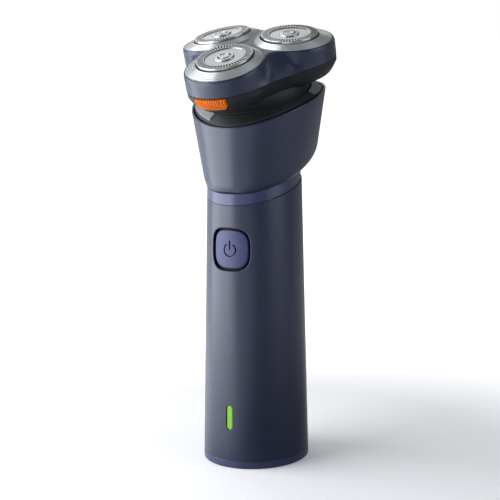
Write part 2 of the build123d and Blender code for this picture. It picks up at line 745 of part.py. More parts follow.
gear_top = gear_bottom + gear_thickness
with BuildPart() as motor_rotor:
    add(turned(head, [
        (0, shaft_foot),
        (shaft_radius, shaft_foot),
        (shaft_radius, rotor_bottom),
        (rotor_radius, rotor_bottom),
        (rotor_radius, rotor_bottom + rotor_length),
        (shaft_radius, rotor_bottom + rotor_length),
        (shaft_radius, gear_top),
        (0, gear_top),
    ]))
finish(motor_rotor, "motor_rotor")

with BuildPart() as motor_plate:
    add(drum(head, motor_top, plate_top, motor_plate_radius, motor_boss_radius))
    for angle in (30, 150, 270):
        post = around(head, angle, motor_post_circle)
        add(drum(post, motor_top, plate_top, small_screw[0]), mode=Mode.SUBTRACT)
    for angle in (0, 180):
        post = around(head, angle, motor_screw_circle)
        add(drum(post, motor_top, plate_top, small_screw[0]), mode=Mode.SUBTRACT)
finish(motor_plate, "motor_plate")


def screws_from_below(angles, circle, level, length):
    """Small screws driven upwards along the head's axis, their heads under a level."""
    with BuildPart() as body:
        for angle in angles:
            seat = around(head, angle, circle).offset(level)
            add(screw(Plane(origin=seat.origin, x_dir=seat.x_dir, z_dir=-seat.z_dir), small_screw, length))
    return body.part


# Two screws hold the motor to its plate, and three hold the plate to the deck's posts.
with BuildPart() as motor_screws:
    for angle in (0, 180):
        seat = around(head, angle, motor_screw_circle).offset(plate_top)
        add(screw(seat, small_screw, motor_screw_length))
    add(screws_from_below((30, 150, 270), motor_post_circle, motor_top, motor_post_screw_length))
finish(motor_screws, "motor_screws")

with BuildPart() as neck_screws:
    add(screws_from_below((90, 210, 330), neck_post_circle, flange_bottom, neck_screw_length))
finish(neck_screws, "neck_screws")

# ---------------------------------------------------------------- neck and head tray
neck_foot = neck_profile[0][1]
neck_head_radius, neck_head = neck_profile[-1]
with BuildPart() as neck_space:
    add(turned(head, [(0, neck_foot), *neck_profile, (0, neck_head)]))

with BuildPart() as neck_skirt:
    add(neck_space.part)
    add(turned(head, [(0, neck_foot), *[(radius - neck_wall, level) for radius, level in neck_profile],
                      (0, neck_head)]), mode=Mode.SUBTRACT)
finish(neck_skirt, "neck_skirt")

front = Plane(origin=head.origin, x_dir=head.x_dir, z_dir=-head.y_dir)
hinge = Plane(origin=head.from_local_coords((0, hinge_back, seam_level)), x_dir=head.y_dir, z_dir=head.x_dir)
root_reach = hinge_back - hinge_root
root_gap = frame_seam_gap
tray_floor_bottom = tray_floor_top - tray_floor_thickness
seal_bottom = tray_floor_bottom - seal_thickness


def release_opening(grow, top):
    """Prism of the release button's outline, seen square from the front of the head."""
    outline = [
        (-release_half_width - grow, top),
        (-release_half_width - grow, release_shoulder),
        (-release_foot_half_width - grow, release_bottom - grow),
        (release_foot_half_width + grow, release_bottom - grow),
        (release_half_width + grow, release_shoulder),
        (release_half_width + grow, top),
    ]
    with BuildPart() as body:
        with BuildSketch(front.offset(release_pocket)):
            with BuildLine():
                Polyline(*outline, close=True)
            make_face()
        extrude(amount=head_circle)
    return body.part


with BuildPart() as tray_space:
    add(tray_body(-tray_wall))
    split(bisect_by=head.offset(tray_floor_top), keep=Keep.TOP)

with BuildPart() as head_tray:
    add(tray_body())
    add(tray_space.part, mode=Mode.SUBTRACT)
    add(drum(head, tray_sections[-1][0], tray_floor_bottom, neck_head_radius - neck_wall), mode=Mode.SUBTRACT)
    add(neck_space.part, mode=Mode.SUBTRACT)
    add(drum(head, tray_floor_bottom, tray_floor_top, neck_head_radius))
    add(drum(head, seal_bottom, tray_floor_bottom, seal_radius + seal_wall, seal_radius))
    add(drum(head, tray_floor_bottom, tray_floor_top, floor_shaft_hole), mode=Mode.SUBTRACT)
    for angle in (90, 210, 330):
        post = around(head, angle, neck_post_circle)
        add(drum(post, flange_top, tray_floor_bottom, neck_post_radius))
        add(drum(post, flange_top, flange_bottom + neck_screw_length, small_screw[0]), mode=Mode.SUBTRACT)
        post = around(head, angle, cover_post_circle)
        add(drum(post, tray_floor_top, cover_top - cover_thickness, cover_post_radius))
        add(drum(post, cover_top - cover_screw_length, cover_top - cover_thickness, small_screw[0]),
            mode=Mode.SUBTRACT)
    for plane in gear_planes:
        add(drum(plane, tray_floor_top, axle_top, axle_radius))
    add(release_opening(release_side_gap, seam_level), mode=Mode.SUBTRACT)
    with BuildSketch(hinge.offset(-tray_knuckle_half)):
        Circle(knuckle_radius)
        with Locations((-root_reach / 2, -(knuckle_radius + root_gap) / 2)):
            Rectangle(root_reach, knuckle_radius - root_gap)
    extrude(amount=2 * tray_knuckle_half)
    add(drum(hinge, -tray_knuckle_half, tray_knuckle_half, hinge_pin_radius), mode=Mode.SUBTRACT)
finish(head_tray, "head_tray")

with BuildPart() as shaft_seal:
    add(drum(head, seal_bottom, tray_floor_bottom, seal_radius, shaft_radius + running_fit))
finish(shaft_seal, "shaft_seal")

pin_half_length = tray_knuckle_half + knuckle_gap + frame_knuckle_length
with BuildPart() as hinge_pin:
    add(drum(hinge, -pin_half_length, pin_half_length, hinge_pin_radius))
finish(hinge_pin, "hinge_pin")

with BuildPart() as gear_cover:
    add(tray_body(-tray_wall - cover_gap))
    split(bisect_by=head.offset(cover_top - cover_thickness), keep=Keep.TOP)
    split(bisect_by=head.offset(cover_top), keep=Keep.BOTTOM)
    with BuildSketch(front.offset(cover_front)):
        Rectangle(4 * head_circle, 4 * head_circle)
    extrude(amount=head_circle, mode=Mode.SUBTRACT)
    with BuildSketch(front.offset(cover_front)):
        with Locations((-prong_spread / 2, cover_top - cover_thickness / 2),
                       (prong_spread / 2, cover_top - cover_thickness / 2)):
            Rectangle(prong_width, cover_thickness)
    extrude(amount=prong_front - cover_front)
    for plane in gear_planes:
        add(drum(plane, cover_top - cover_thickness, cover_top, boss_radius + boss_hole_gap),
            mode=Mode.SUBTRACT)
    for angle in (90, 210, 330):
        post = around(head, angle, cover_post_circle)
        add(drum(post, cover_top - cover_thickness, cover_top, small_screw[0]), mode=Mode.SUBTRACT)
finish(gear_cover, "gear_cover")

with BuildPart() as cover_screws:
    for angle in (90, 210, 330):
        seat = around(head, angle, cover_post_circle).offset(cover_top)
        add(screw(seat, small_screw, cover_screw_length))
finish(cover_screws, "cover_screws")

# ---------------------------------------------------------------- gears, spindles and springs
with BuildPart() as drive_pinion:
    with BuildSketch(head.offset(gear_bottom)):
        add(gear_sketch(Plane.XY, pinion_teeth, 0))
        Circle(shaft_radius, mode=Mode.SUBTRACT)
    extrude(amount=gear_thickness)
finish(drive_pinion, "drive_pinion")

axle_top_gap = axle_top + axle_end_gap
pocket_floor = axle_top_gap + gear_web
flange_foot = spindle_flange_top - spindle_flange_thickness
coil_height = flange_foot - pocket_floor - 2 * spring_wire
with BuildPart() as coil_spring:
    with BuildLine() as coil:
        Helix(pitch=coil_height / spring_turns, height=coil_height, radius=spring_radius,
              center=(0, 0, spring_wire))
    with BuildSketch(Plane(origin=coil.line @ 0, z_dir=coil.line % 0)):
        Circle(spring_wire / 2)
    sweep()

for number, (angle, plane) in enumerate(zip(head_angles, gear_planes), 1):
    teeth_past = (angle * pinion_teeth / 360) % 1
    tooth_turn = 180 + (teeth_past + 0.5) * 360 / gear_teeth
    with BuildPart() as drive_gear:
        with BuildSketch(plane.offset(gear_bottom)):
            add(gear_sketch(Plane.XY, gear_teeth, tooth_turn))
        extrude(amount=gear_thickness)
        add(drum(plane, gear_top, boss_top, boss_radius))
        add(drum(plane, gear_bottom, axle_top_gap, axle_radius + running_fit), mode=Mode.SUBTRACT)
        add(drum(plane, pocket_floor, boss_top - boss_lip, boss_bore), mode=Mode.SUBTRACT)
        add(drum(plane, boss_top - boss_lip, boss_top, boss_lip_radius), mode=Mode.SUBTRACT)
    finish(drive_gear, f"drive_gear_{number}")

    ball_centre = plane.to_local_coords(
        head_planes[number - 1].from_local_coords((0, 0, -ball_depth))).Z
    with BuildPart() as drive_spindle:
        with BuildSketch(plane.offset(ball_centre - ball_radius)):
            Rectangle(ball_key, ball_key)
        extrude(amount=2 * ball_radius)
        with Locations(plane.offset(ball_centre).location):
            Sphere(ball_radius, mode=Mode.INTERSECT)
        add(drum(plane, flange_foot, spindle_flange_top, spindle_flange_radius))
        add(drum(plane, flange_foot, ball_centre, spindle_stem_radius))
    finish(drive_spindle, f"drive_spindle_{number}")

    with BuildPart() as spindle_spring:
        add(coil_spring.part.moved(plane.offset(pocket_floor).location))
    finish(spindle_spring, f"spindle_spring_{number}")

# ---------------------------------------------------------------- release button


def front_box(half_width, low, high, near, far):
    """Box in the front of the head, between two heights and two distances from the middle."""
    with BuildPart() as body:
        with BuildSketch(front.offset(near)):
            with Locations((0, (low + high) / 2)):
                Rectangle(2 * half_width, high - low)
        extrude(amount=far - near)
    return body.part


flange_inset_front = tray_wall + release_side_gap
with BuildPart() as release_flange:
    add(tray_body(-flange_inset_front))
    add(front_box(release_flange_half_width, release_flange_bottom, release_top,
                  cover_front, 2 * head_circle), mode=Mode.INTERSECT)

grip_centre = tray_sections[1][1]
groove_radius = tray_sections[1][2] + release_proud - rib_groove_depth
groove_step = 2 * release_half_width / rib_count
with BuildPart() as release_button:
    add(release_opening(0, release_top))
    add(tray_body(release_proud), mode=Mode.INTERSECT)
    for index in range(1, rib_count):
        centre = index * groove_step - release_half_width
        with BuildSketch(front.offset(grip_centre + sqrt(groove_radius**2 - centre**2))):
            with Locations((centre, 0)):
                Rectangle(rib_groove_width, 4 * head_circle)
        extrude(amount=head_circle, mode=Mode.SUBTRACT)
    add(release_flange.part)
    add(tray_body(-flange_inset_front - release_depth), mode=Mode.SUBTRACT)
    add(front_box(hook_half_width, release_top, hook_top, hook_back, hook_front))
    add(front_box(hook_half_width, hook_top - hook_nose_height, hook_top, hook_back, hook_front + hook_nose))
finish(release_button, "release_button")

with BuildPart() as release_spring:
    with BuildSketch(head.offset(leaf_bottom)):
        with BuildLine():
            ThreePointArc((-leaf_half_length, -leaf_end), (0, -leaf_front), (leaf_half_length, -leaf_end))
            Line((leaf_half_length, -leaf_end), (leaf_half_length, -leaf_end + leaf_thickness))
            ThreePointArc((leaf_half_length, -leaf_end + leaf_thickness), (0, -leaf_front + leaf_thickness),
                          (-leaf_half_length, -leaf_end + leaf_thickness))
            Line((-leaf_half_length, -leaf_end + leaf_thickness), (-leaf_half_length, -leaf_end))
        make_face()
    extrude(amount=leaf_height)
finish(release_spring, "release_spring")

# ---------------------------------------------------------------- cutting heads
blade_top = -guard_plate - blade_gap
cutter_disc_bottom = cutter_disc_top - cutter_disc_thickness
for number, plane in enumerate(head_planes, 1):
    with BuildPart() as guard:
        inner_radius = guard_radius - guard_wall
        flange_low = guard_flange_top - guard_flange_thickness
        add(turned(plane, [
            (guard_centre_hole, -guard_dish),
            (dish_foot_radius, -guard_dish),
            (dish_top_radius, 0),
            (guard_radius - guard_edge_round, 0),
            (guard_radius, -guard_edge_round),
            (guard_radius, guard_flange_top),
            (guard_flange_radius, guard_flange_top),
            (guard_flange_radius, flange_low),
            (inner_radius, flange_low),
            (inner_radius, -guard_plate),
            (dish_top_radius - guard_wall / 2, -guard_plate),
            (dish_foot_radius - guard_wall / 2, -guard_dish - guard_plate),
            (guard_centre_hole, -guard_dish - guard_plate),
        ]))
        with BuildSketch(plane.offset(-guard_plate)):
            with PolarLocations((slot_start + slot_end) / 2, slot_count):
                Rectangle(slot_end - slot_start, slot_width)
        extrude(amount=guard_plate, mode=Mode.SUBTRACT)
    finish(guard, f"guard_{number}")

    with BuildPart() as guard_cap:
        cap_top = cap_rise - guard_dish
        add(turned(plane, [
            (0, -guard_dish - cap_stem_length),
            (guard_centre_hole, -guard_dish - cap_stem_length),
            (guard_centre_hole, -guard_dish),
            (cap_radius, -guard_dish),
            (cap_radius, cap_top - cap_bevel),
            (cap_radius - cap_bevel, cap_top),
            (0, cap_top),
        ]))
        add(drum(plane, cap_top, cap_top + cap_ring_height, cap_ring_radius, cap_ring_radius - cap_ring_width))
    finish(guard_cap, f"guard_cap_{number}")

    with BuildPart() as cutter:
        add(drum(plane, cutter_disc_bottom, cutter_disc_top, cutter_disc_radius))
        add(drum(plane, cutter_hub_bottom, cutter_disc_bottom, cutter_hub_radius))
        with BuildSketch(plane.offset(cutter_disc_top)):
            with PolarLocations((blade_inner_radius + cutter_disc_radius) / 2, blade_count):
                Rectangle(cutter_disc_radius - blade_inner_radius - 2 * blade_gap, blade_thickness)
        extrude(amount=blade_top - cutter_disc_top)
        with BuildSketch(plane.offset(cutter_disc_bottom)):
            with PolarLocations(cutter_window_circle, cutter_window_count):
                Circle(cutter_window_radius)
        extrude(amount=cutter_disc_thickness, mode=Mode.SUBTRACT)
        with BuildSketch(plane.offset(cutter_hub_bottom)):
            Rectangle(socket_key, socket_key)
        extrude(amount=socket_top - cutter_hub_bottom, mode=Mode.SUBTRACT)
        add(turned(plane, [(0, cutter_hub_bottom), (socket_mouth_radius, cutter_hub_bottom),
                           (socket_key / 2, cutter_hub_bottom + socket_mouth_depth),
                           (0, cutter_hub_bottom + socket_mouth_depth)]), mode=Mode.SUBTRACT)
    finish(cutter, f"cutter_{number}")


def ring_circle(plane, level, radius, shift):
    """Circle on a head's plane, moved outwards from the head's axis."""
    with BuildSketch(plane.offset(level)) as outline:
        with Locations((shift, 0)):
            Circle(radius)
    return outline.sketch


for number, plane in enumerate(head_planes, 1):
    with BuildPart() as lobe_ring:
        loft(sections=[ring_circle(plane, ring_foot_level, ring_radius, ring_shift),
                       ring_circle(plane, ring_edge_level, ring_radius, ring_shift),
                       ring_circle(plane, ring_top_level, ring_hole_radius, 0)], ruled=True)
        with BuildSketch(plane.offset(ring_foot_level)):
            with Locations((ring_inner_shift, 0)):
                Circle(ring_inner_radius)
        extrude(amount=ring_underside_level - ring_foot_level, mode=Mode.SUBTRACT)
        add(drum(plane, ring_foot_level, ring_top_level, ring_hole_radius), mode=Mode.SUBTRACT)
    finish(lobe_ring, f"lobe_ring_{number}")

# ---------------------------------------------------------------- head frame, retaining frame, lock
frame_bottom = seam_level + frame_seam_gap
seam_reach, seam_lobe, seam_hollow = tray_sections[0][1:]


def above(plane, level):
    """Everything above a level of a head's plane, as far as the head reaches."""
    with BuildPart() as body:
        with BuildSketch(plane.offset(level)):
            Rectangle(8 * head_circle, 8 * head_circle)
        extrude(amount=head_circle)
    return body.part


with BuildPart() as frame_outside:
    loft(sections=[
        lobed(head.offset(frame_bottom), seam_reach, seam_lobe, seam_hollow),
        *[lobed(head.offset(level), reach, lobe, hollow) for level, reach, lobe, hollow in frame_sections],
    ])
    for plane in head_planes:
        add(above(plane, ring_edge_level), mode=Mode.SUBTRACT)
    rim_edges = [
        edge for edge in frame_outside.edges().filter_by(GeomType.BSPLINE)
        if head.to_local_coords(edge.center()).Z > retainer_top
    ]
    fillet(rim_edges, frame_edge_round)

with BuildPart() as frame_space:
    loft(sections=[
        lobed(head.offset(frame_bottom), seam_reach, seam_lobe - frame_wall, seam_hollow + frame_wall),
        lobed(head.offset(frame_roof_level), frame_roof_reach, frame_roof_lobe, frame_roof_hollow),
    ])

with BuildPart() as head_frame:
    add(frame_outside.part)
    add(frame_space.part, mode=Mode.SUBTRACT)
    add(front_box(latch_half_width, latch_bottom, latch_bottom + latch_thickness,
                  latch_front, 2 * head_circle))
    add(frame_outside.part, mode=Mode.INTERSECT)
    for plane in head_planes:
        add(drum(plane, 2 * retainer_bottom, head_circle, frame_hole_radius), mode=Mode.SUBTRACT)
        with BuildSketch(plane.offset(ring_foot_level)):
            with Locations((ring_shift, 0)):
                Circle(ring_radius + running_fit)
            with Locations((ring_inner_shift, 0)):
                Circle(ring_inner_radius - running_fit, mode=Mode.SUBTRACT)
        extrude(amount=ring_radius, mode=Mode.SUBTRACT)
    add(drum(head, 2 * frame_roof_level, lock_shaft_top + lock_gap, lock_shaft_radius + running_fit),
        mode=Mode.SUBTRACT)
    for low in (tray_knuckle_half + knuckle_gap, -pin_half_length):
        with BuildSketch(hinge.offset(low)):
            Circle(knuckle_radius)
            with Locations((-root_reach / 2, (knuckle_radius + root_gap) / 2)):
                Rectangle(root_reach, knuckle_radius - root_gap)
        extrude(amount=frame_knuckle_length)
        add(drum(hinge, low, low + frame_knuckle_length, hinge_pin_radius + running_fit), mode=Mode.SUBTRACT)
finish(head_frame, "head_frame")

with BuildPart() as retaining_frame:
    add(drum(head, hub_top - hub_thickness, hub_top, hub_radius))
    for plane in head_planes:
        inner = retainer_outer - retainer_wall
        add(drum(plane, retainer_bottom, retainer_top, retainer_outer, inner))
        add(drum(plane, retainer_top - retainer_lip_thickness, retainer_top, retainer_outer,
                 inner - retainer_lip))
    add(drum(head, hub_top - hub_thickness, hub_top, lock_shaft_radius + running_fit), mode=Mode.SUBTRACT)
finish(retaining_frame, "retaining_frame")

lock_top = hub_top - hub_thickness - lock_gap
with BuildPart() as retaining_lock:
    with BuildSketch(head.offset(lock_top - lock_thickness)):
        SlotOverall(lock_length, lock_width)
    extrude(amount=lock_thickness)
    add(drum(head, lock_top, lock_shaft_top, lock_shaft_radius))
finish(retaining_lock, "retaining_lock")
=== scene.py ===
import math

import bmesh
import bpy
from mathutils import Matrix, Vector


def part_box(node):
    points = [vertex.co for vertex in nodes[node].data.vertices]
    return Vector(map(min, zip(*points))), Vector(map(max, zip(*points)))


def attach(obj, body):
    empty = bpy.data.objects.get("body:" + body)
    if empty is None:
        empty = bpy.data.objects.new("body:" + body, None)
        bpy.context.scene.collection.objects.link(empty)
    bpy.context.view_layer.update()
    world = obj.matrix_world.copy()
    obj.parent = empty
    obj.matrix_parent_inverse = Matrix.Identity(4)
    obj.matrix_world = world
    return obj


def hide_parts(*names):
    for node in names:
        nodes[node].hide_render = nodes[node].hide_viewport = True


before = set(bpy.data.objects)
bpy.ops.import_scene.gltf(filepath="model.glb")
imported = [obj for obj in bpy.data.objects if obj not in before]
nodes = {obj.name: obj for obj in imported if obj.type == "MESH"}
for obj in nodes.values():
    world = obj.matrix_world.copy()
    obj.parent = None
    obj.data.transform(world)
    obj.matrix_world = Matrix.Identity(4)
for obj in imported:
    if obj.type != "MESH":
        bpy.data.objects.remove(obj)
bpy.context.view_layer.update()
bpy.ops.object.select_all(action="DESELECT")

# ---------------------------------------------------------------- camera
# A long lens stands a little above the cutting heads and looks down at the shaver from its front
# right, so that the handle's sides stay nearly upright.
camera_turn, camera_pitch, camera_roll = (math.radians(a) for a in (28.573, 8.93, -0.39))
bpy.ops.object.camera_add()
camera = bpy.context.object
camera.data.lens = 99.57
camera.data.sensor_width = 36
camera.data.clip_start, camera.data.clip_end = 0.01, 20
camera.matrix_world = (
    Matrix.Translation((0.248085, -0.459722, 0.162389))
    @ Matrix.Rotation(camera_turn, 4, "Z")
    @ Matrix.Rotation(math.pi / 2 - camera_pitch, 4, "X")
    @ Matrix.Rotation(camera_roll, 4, "Z")
)
bpy.context.scene.camera = camera
bpy.context.scene.view_settings.view_transform = "Standard"


# ---------------------------------------------------------------- studio
# White paper sweeps under the shaver. A tall softbox on the left makes the handle's long highlight, a
# cool card lifts its right side, a box behind shines in the guards and one hangs overhead. Mirrors see
# only a share of the white, and more of it on the paper to the left, a painted reflection. Near the
# shaver's front right the paper is painted dark for every ray but the camera's, a painted shadow.
def linear(code):
    """Linear colour of an sRGB hex value."""
    parts = [int(code[i:i + 2], 16) / 255 for i in (0, 2, 4)]
    return [p / 12.92 if p <= 0.04045 else ((p + 0.055) / 1.055) ** 2.4 for p in parts] + [1]


def add_node(tree, kind, inputs=None, **settings):
    """Adds a shader node, with its settings, and sets or links its inputs."""
    made = tree.nodes.new("ShaderNode" + kind)
    for name, value in settings.items():
        setattr(made, name, value)
    for socket, value in (inputs or {}).items():
        if isinstance(value, bpy.types.NodeSocket):
            tree.links.new(value, made.inputs[socket])
        else:
            made.inputs[socket].default_value = value
    return made


def from_camera(degrees, rise=0.0):
    """Direction over the floor, turned from the camera's side, and rising a little."""
    turn = camera_turn + math.radians(degrees)
    return Vector((math.sin(turn), -math.cos(turn), rise)).normalized()


bpy.ops.mesh.primitive_plane_add(size=40)
floor = bpy.context.object
floor.name = "paper_floor"
paper = bpy.data.materials.new("white_studio_paper")
paper.use_nodes = True
tree = paper.node_tree
tree.nodes.clear()
seen = add_node(tree, "LightPath")
where = add_node(tree, "TexCoord")
away = add_node(tree, "VectorMath", {0: where.outputs["Object"]}, operation="LENGTH")
sweep = add_node(tree, "MapRange", {"Value": away.outputs["Value"], "From Min": 0.1, "From Max": 0.27,
                                    "To Min": 0.15, "To Max": 1.0})
# A painted shadow: the paper close to the shaver's front right is dark for every ray but the camera's.
near = add_node(tree, "MapRange", {"Value": away.outputs["Value"], "From Min": 0.12, "From Max": 0.3,
                                   "To Min": 1.0, "To Max": 0.0})
reach = add_node(tree, "VectorMath", {0: where.outputs["Object"], 1: from_camera(55)},
                 operation="DOT_PRODUCT")
shadow_half = add_node(tree, "MapRange", {"Value": reach.outputs["Value"], "From Min": -0.02, "From Max": 0.03})
painted_shadow = add_node(tree, "Math", {0: shadow_half.outputs[0], 1: near.outputs[0]}, operation="MULTIPLY")
unseen = add_node(tree, "Math", {0: 1.0, 1: seen.outputs["Is Camera Ray"]}, operation="SUBTRACT")
shade = add_node(tree, "Math", {0: painted_shadow.outputs[0], 1: unseen.outputs[0]}, operation="MULTIPLY")
colour = add_node(tree, "Mix", {"Factor": shade.outputs[0], "A": linear("f4f4f4"), "B": linear("646464")},
                  data_type="RGBA")
mirrored = add_node(tree, "Math", {0: seen.outputs["Is Glossy Ray"], 1: seen.outputs["Is Transmission Ray"]},
                    operation="MAXIMUM")
# A painted reflection: the paper to the left glows for mirrors, so that the handle's low highlight is bright.
leftward = add_node(tree, "VectorMath", {0: where.outputs["Object"], 1: from_camera(-75)},
                    operation="DOT_PRODUCT")
mirror_glow_side = add_node(tree, "MapRange", {"Value": leftward.outputs["Value"], "From Min": 0.02,
                                         "From Max": 0.08, "To Min": 0.1, "To Max": 0.85})
reflected = add_node(tree, "Math", {0: mirrored.outputs[0], 1: mirror_glow_side.outputs[0]}, operation="MULTIPLY")
glow_level = add_node(tree, "Math", {0: seen.outputs["Is Camera Ray"], 1: sweep.outputs[0],
                                     2: reflected.outputs[0]}, operation="MULTIPLY_ADD")
lit = add_node(tree, "BsdfDiffuse", {"Color": colour.outputs["Result"]})
glow = add_node(tree, "Emission", {"Color": linear("ffffff"), "Strength": glow_level.outputs[0]})
both = add_node(tree, "AddShader", {0: lit.outputs[0], 1: glow.outputs[0]})
add_node(tree, "OutputMaterial", {"Surface": both.outputs[0]})
floor.data.materials.append(paper)

world = bpy.data.worlds.new("studio_air")
bpy.context.scene.world = world
world.use_nodes = True
tree = world.node_tree
tree.nodes.clear()
seen = add_node(tree, "LightPath")
way = add_node(tree, "TexCoord")
facing = add_node(tree, "VectorMath", {0: way.outputs["Generated"], 1: from_camera(0, 0.12)},
                  operation="DOT_PRODUCT")
far_side = add_node(tree, "MapRange", {"Value": facing.outputs["Value"], "From Min": 0.3, "From Max": 0.9,
                                       "To Min": 1.0, "To Max": 0.1}, interpolation_type="SMOOTHSTEP")
air_level = add_node(tree, "Math", {0: far_side.outputs[0], 1: 0.2}, operation="MULTIPLY")
mirrored = add_node(tree, "Math", {0: seen.outputs["Is Glossy Ray"], 1: seen.outputs["Is Transmission Ray"]},
                    operation="MAXIMUM")
backdrop = add_node(tree, "Math", {0: mirrored.outputs[0], 1: 0.12, 2: seen.outputs["Is Camera Ray"]},
                    operation="MULTIPLY_ADD", use_clamp=True)
strength = add_node(tree, "Mix", {0: backdrop.outputs[0], 2: air_level.outputs[0], 3: 1.0})
sky = add_node(tree, "Background", {"Color": linear("ffffff"), "Strength": strength.outputs[0]})
add_node(tree, "OutputWorld", {"Surface": sky.outputs[0]})


def softbox(name, place, aim, width, height, power, colour="ffffff"):
    """Rectangular lamp at a place, turned to face a point."""
    bpy.ops.object.light_add(type="AREA", location=place)
    lamp = bpy.context.object
    lamp.name = lamp.data.name = name
    lamp.data.shape = "RECTANGLE"
    lamp.data.size, lamp.data.size_y = width, height
    lamp.data.energy = power
    lamp.data.color = linear(colour)[:3]
    lamp.rotation_euler = (Vector(aim) - Vector(place)).to_track_quat("-Z", "Y").to_euler()


softbox("left_softbox", (-0.203, -0.162, 0.18), (0, 0, 0.18), 0.40, 0.36, 1.9, "f7f9ff")
softbox("back_softbox", (-0.40, 0.30, 0.50), (0, 0, 0.155), 0.5, 0.5, 0.75)
softbox("right_card", (0.598, 0.048, 0.25), (0, 0, 0.10), 0.4, 0.4, 1.1, "dee6ff")
softbox("top_softbox", (-0.16, 0.0, 0.90), (0, 0, 0.15), 0.7, 0.7, 0.6)

# ---------------------------------------------------------------- base cap
# Tinted translucent polycarbonate cap, injection moulded, that closes the foot of the handle. A
# short upstand plugs it into the shell, two screws hold it, and its foot edge is rounded.
MM = 0.001
SIDES = 192
BASE_HALF_WIDTH, BASE_HALF_DEPTH = 19.9, 21.7
WAIST_HEIGHT, WAIST_HALF_WIDTH, WAIST_HALF_DEPTH = 92.4, 17.5, 20.6


def half_width(height):
    return BASE_HALF_WIDTH - (BASE_HALF_WIDTH - WAIST_HALF_WIDTH) * height / WAIST_HEIGHT


def half_depth(height):
    return BASE_HALF_DEPTH - (BASE_HALF_DEPTH - WAIST_HALF_DEPTH) * height / WAIST_HEIGHT


def on_handle(height, inset=0.0, lean=0.0):
    """Ring round the handle, pulled in by an inset, where a plane that leans to the front cuts it."""
    slope = math.tan(math.radians(lean))

    def place(turn):
        level = height
        for _ in range(4):
            level = height + slope * (half_depth(level) - inset) * math.sin(turn)
        return Vector(((half_width(level) - inset) * math.cos(turn),
                       (half_depth(level) - inset) * math.sin(turn), level)) * MM

    return place


def face_outwards():
    """Turns every face of the piece being edited outwards, and leaves edit mode."""
    bpy.ops.mesh.select_all(action="SELECT")
    bpy.ops.mesh.normals_make_consistent(inside=False)
    bpy.ops.object.mode_set(mode="OBJECT")


def skin(name, rings, sides=SIDES, closed=False):
    """A surface drawn over rings, each a function from a turn to a point. A closed one ends on its
    first ring, and any other has its two ends filled."""
    bpy.ops.mesh.primitive_circle_add(vertices=sides, radius=1)
    piece = bpy.context.object
    piece.name = piece.data.name = name
    rings = [*rings, rings[0]] if closed else rings
    bpy.ops.object.mode_set(mode="EDIT")
    bpy.ops.mesh.select_mode(type="EDGE")
    bpy.ops.mesh.select_all(action="SELECT")
    for _ in rings[1:]:
        bpy.ops.mesh.extrude_region()
    bpy.ops.object.mode_set(mode="OBJECT")
    for point in piece.data.vertices:
        turn = math.atan2(point.co.y, point.co.x)
        point.co = rings[point.index // sides](turn)
    bpy.ops.object.mode_set(mode="EDIT")
    bpy.ops.mesh.select_all(action="SELECT")
    if closed:
        bpy.ops.mesh.remove_doubles(threshold=1e-6)
    else:
        bpy.ops.mesh.fill_holes(sides=0)
    face_outwards()
    return piece


def activate(piece):
    bpy.ops.object.select_all(action="DESELECT")
    bpy.context.view_layer.objects.active = piece
    piece.select_set(True)


def carve(piece, tool, operation="DIFFERENCE"):
    """Cuts a tool from a piece, adds it or keeps what both share, and throws the tool away."""
    activate(piece)
    cut = piece.modifiers.new("carve", "BOOLEAN")
    cut.operation, cut.object, cut.solver = operation, tool, "EXACT"
    cut.material_mode = "TRANSFER"
    bpy.ops.object.modifier_apply(modifier=cut.name)
    bpy.data.objects.remove(tool)
    return piece


def settle(piece, body, slot, *stands_for, angle=32):
    """Shades a finished piece, hangs it on its body and hides the CAD nodes that it stands for."""
    activate(piece)
    bpy.ops.object.shade_smooth_by_angle(angle=math.radians(angle))
    even = piece.modifiers.new("even", "WEIGHTED_NORMAL")
    even.keep_sharp = True
    bpy.ops.object.modifier_apply(modifier=even.name)
    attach(piece, body)
    if stands_for:
        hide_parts(*stands_for)
    return piece


def box(name, low, high, place=Matrix()):
    """Block between two corners in mm, on a plane of the shaver."""
    bpy.ops.mesh.primitive_cube_add(size=1)
    block = bpy.context.object
    block.name = block.data.name = name
    low, high = Vector(low), Vector(high)
    block.data.transform(place @ Matrix.Translation((low + high) / 2 * MM)
                         @ Matrix.Diagonal([*((high - low) * MM), 1]))
    return block


def rod(name, radius, low, high, place=Matrix(), sides=48):
    """Round bar between two heights in mm over a plane of the shaver."""
    bpy.ops.mesh.primitive_cylinder_add(vertices=sides, radius=radius * MM, depth=(high - low) * MM)
    bar = bpy.context.object
    bar.name = bar.data.name = name
    bar.data.transform(place @ Matrix.Translation((0, 0, (low + high) / 2 * MM)))
    return bar


BASE_CAP_HEIGHT, BASE_EDGE_ROUND, HANDLE_WALL, EDGE_BREAK = 2.85, 0.8, 2.0, 0.12
UPSTAND_TOP, UPSTAND_WALL = 6.0, 1.2
foot_round = [on_handle(BASE_EDGE_ROUND * (1 - math.cos(math.radians(a))),
                        BASE_EDGE_ROUND * (1 - math.sin(math.radians(a)))) for a in range(0, 91, 15)]
base_cap = skin("base_cap_shell", [
    *foot_round,
    on_handle(BASE_CAP_HEIGHT - EDGE_BREAK),
    on_handle(BASE_CAP_HEIGHT, EDGE_BREAK),
    on_handle(BASE_CAP_HEIGHT, HANDLE_WALL),
    on_handle(UPSTAND_TOP, HANDLE_WALL),
    on_handle(UPSTAND_TOP, HANDLE_WALL + UPSTAND_WALL),
    on_handle(BASE_CAP_HEIGHT, HANDLE_WALL + UPSTAND_WALL),
])
INLET_BACK, INLET_HALF_WIDTH, INLET_HALF_DEPTH = 12.5, 6.2, 3.9
carve(base_cap, box("inlet_hole", (-INLET_HALF_WIDTH, INLET_BACK - INLET_HALF_DEPTH, -1),
                    (INLET_HALF_WIDTH, INLET_BACK + INLET_HALF_DEPTH, 4)))
for side in (-1, 1):
    screw_place = Matrix.Translation((side * 11 * MM, -2 * MM, 0))
    carve(base_cap, rod("screw_well", 2.4, -1, 1.8, screw_place))
    carve(base_cap, rod("screw_hole", 1.2, -1, 4, screw_place))


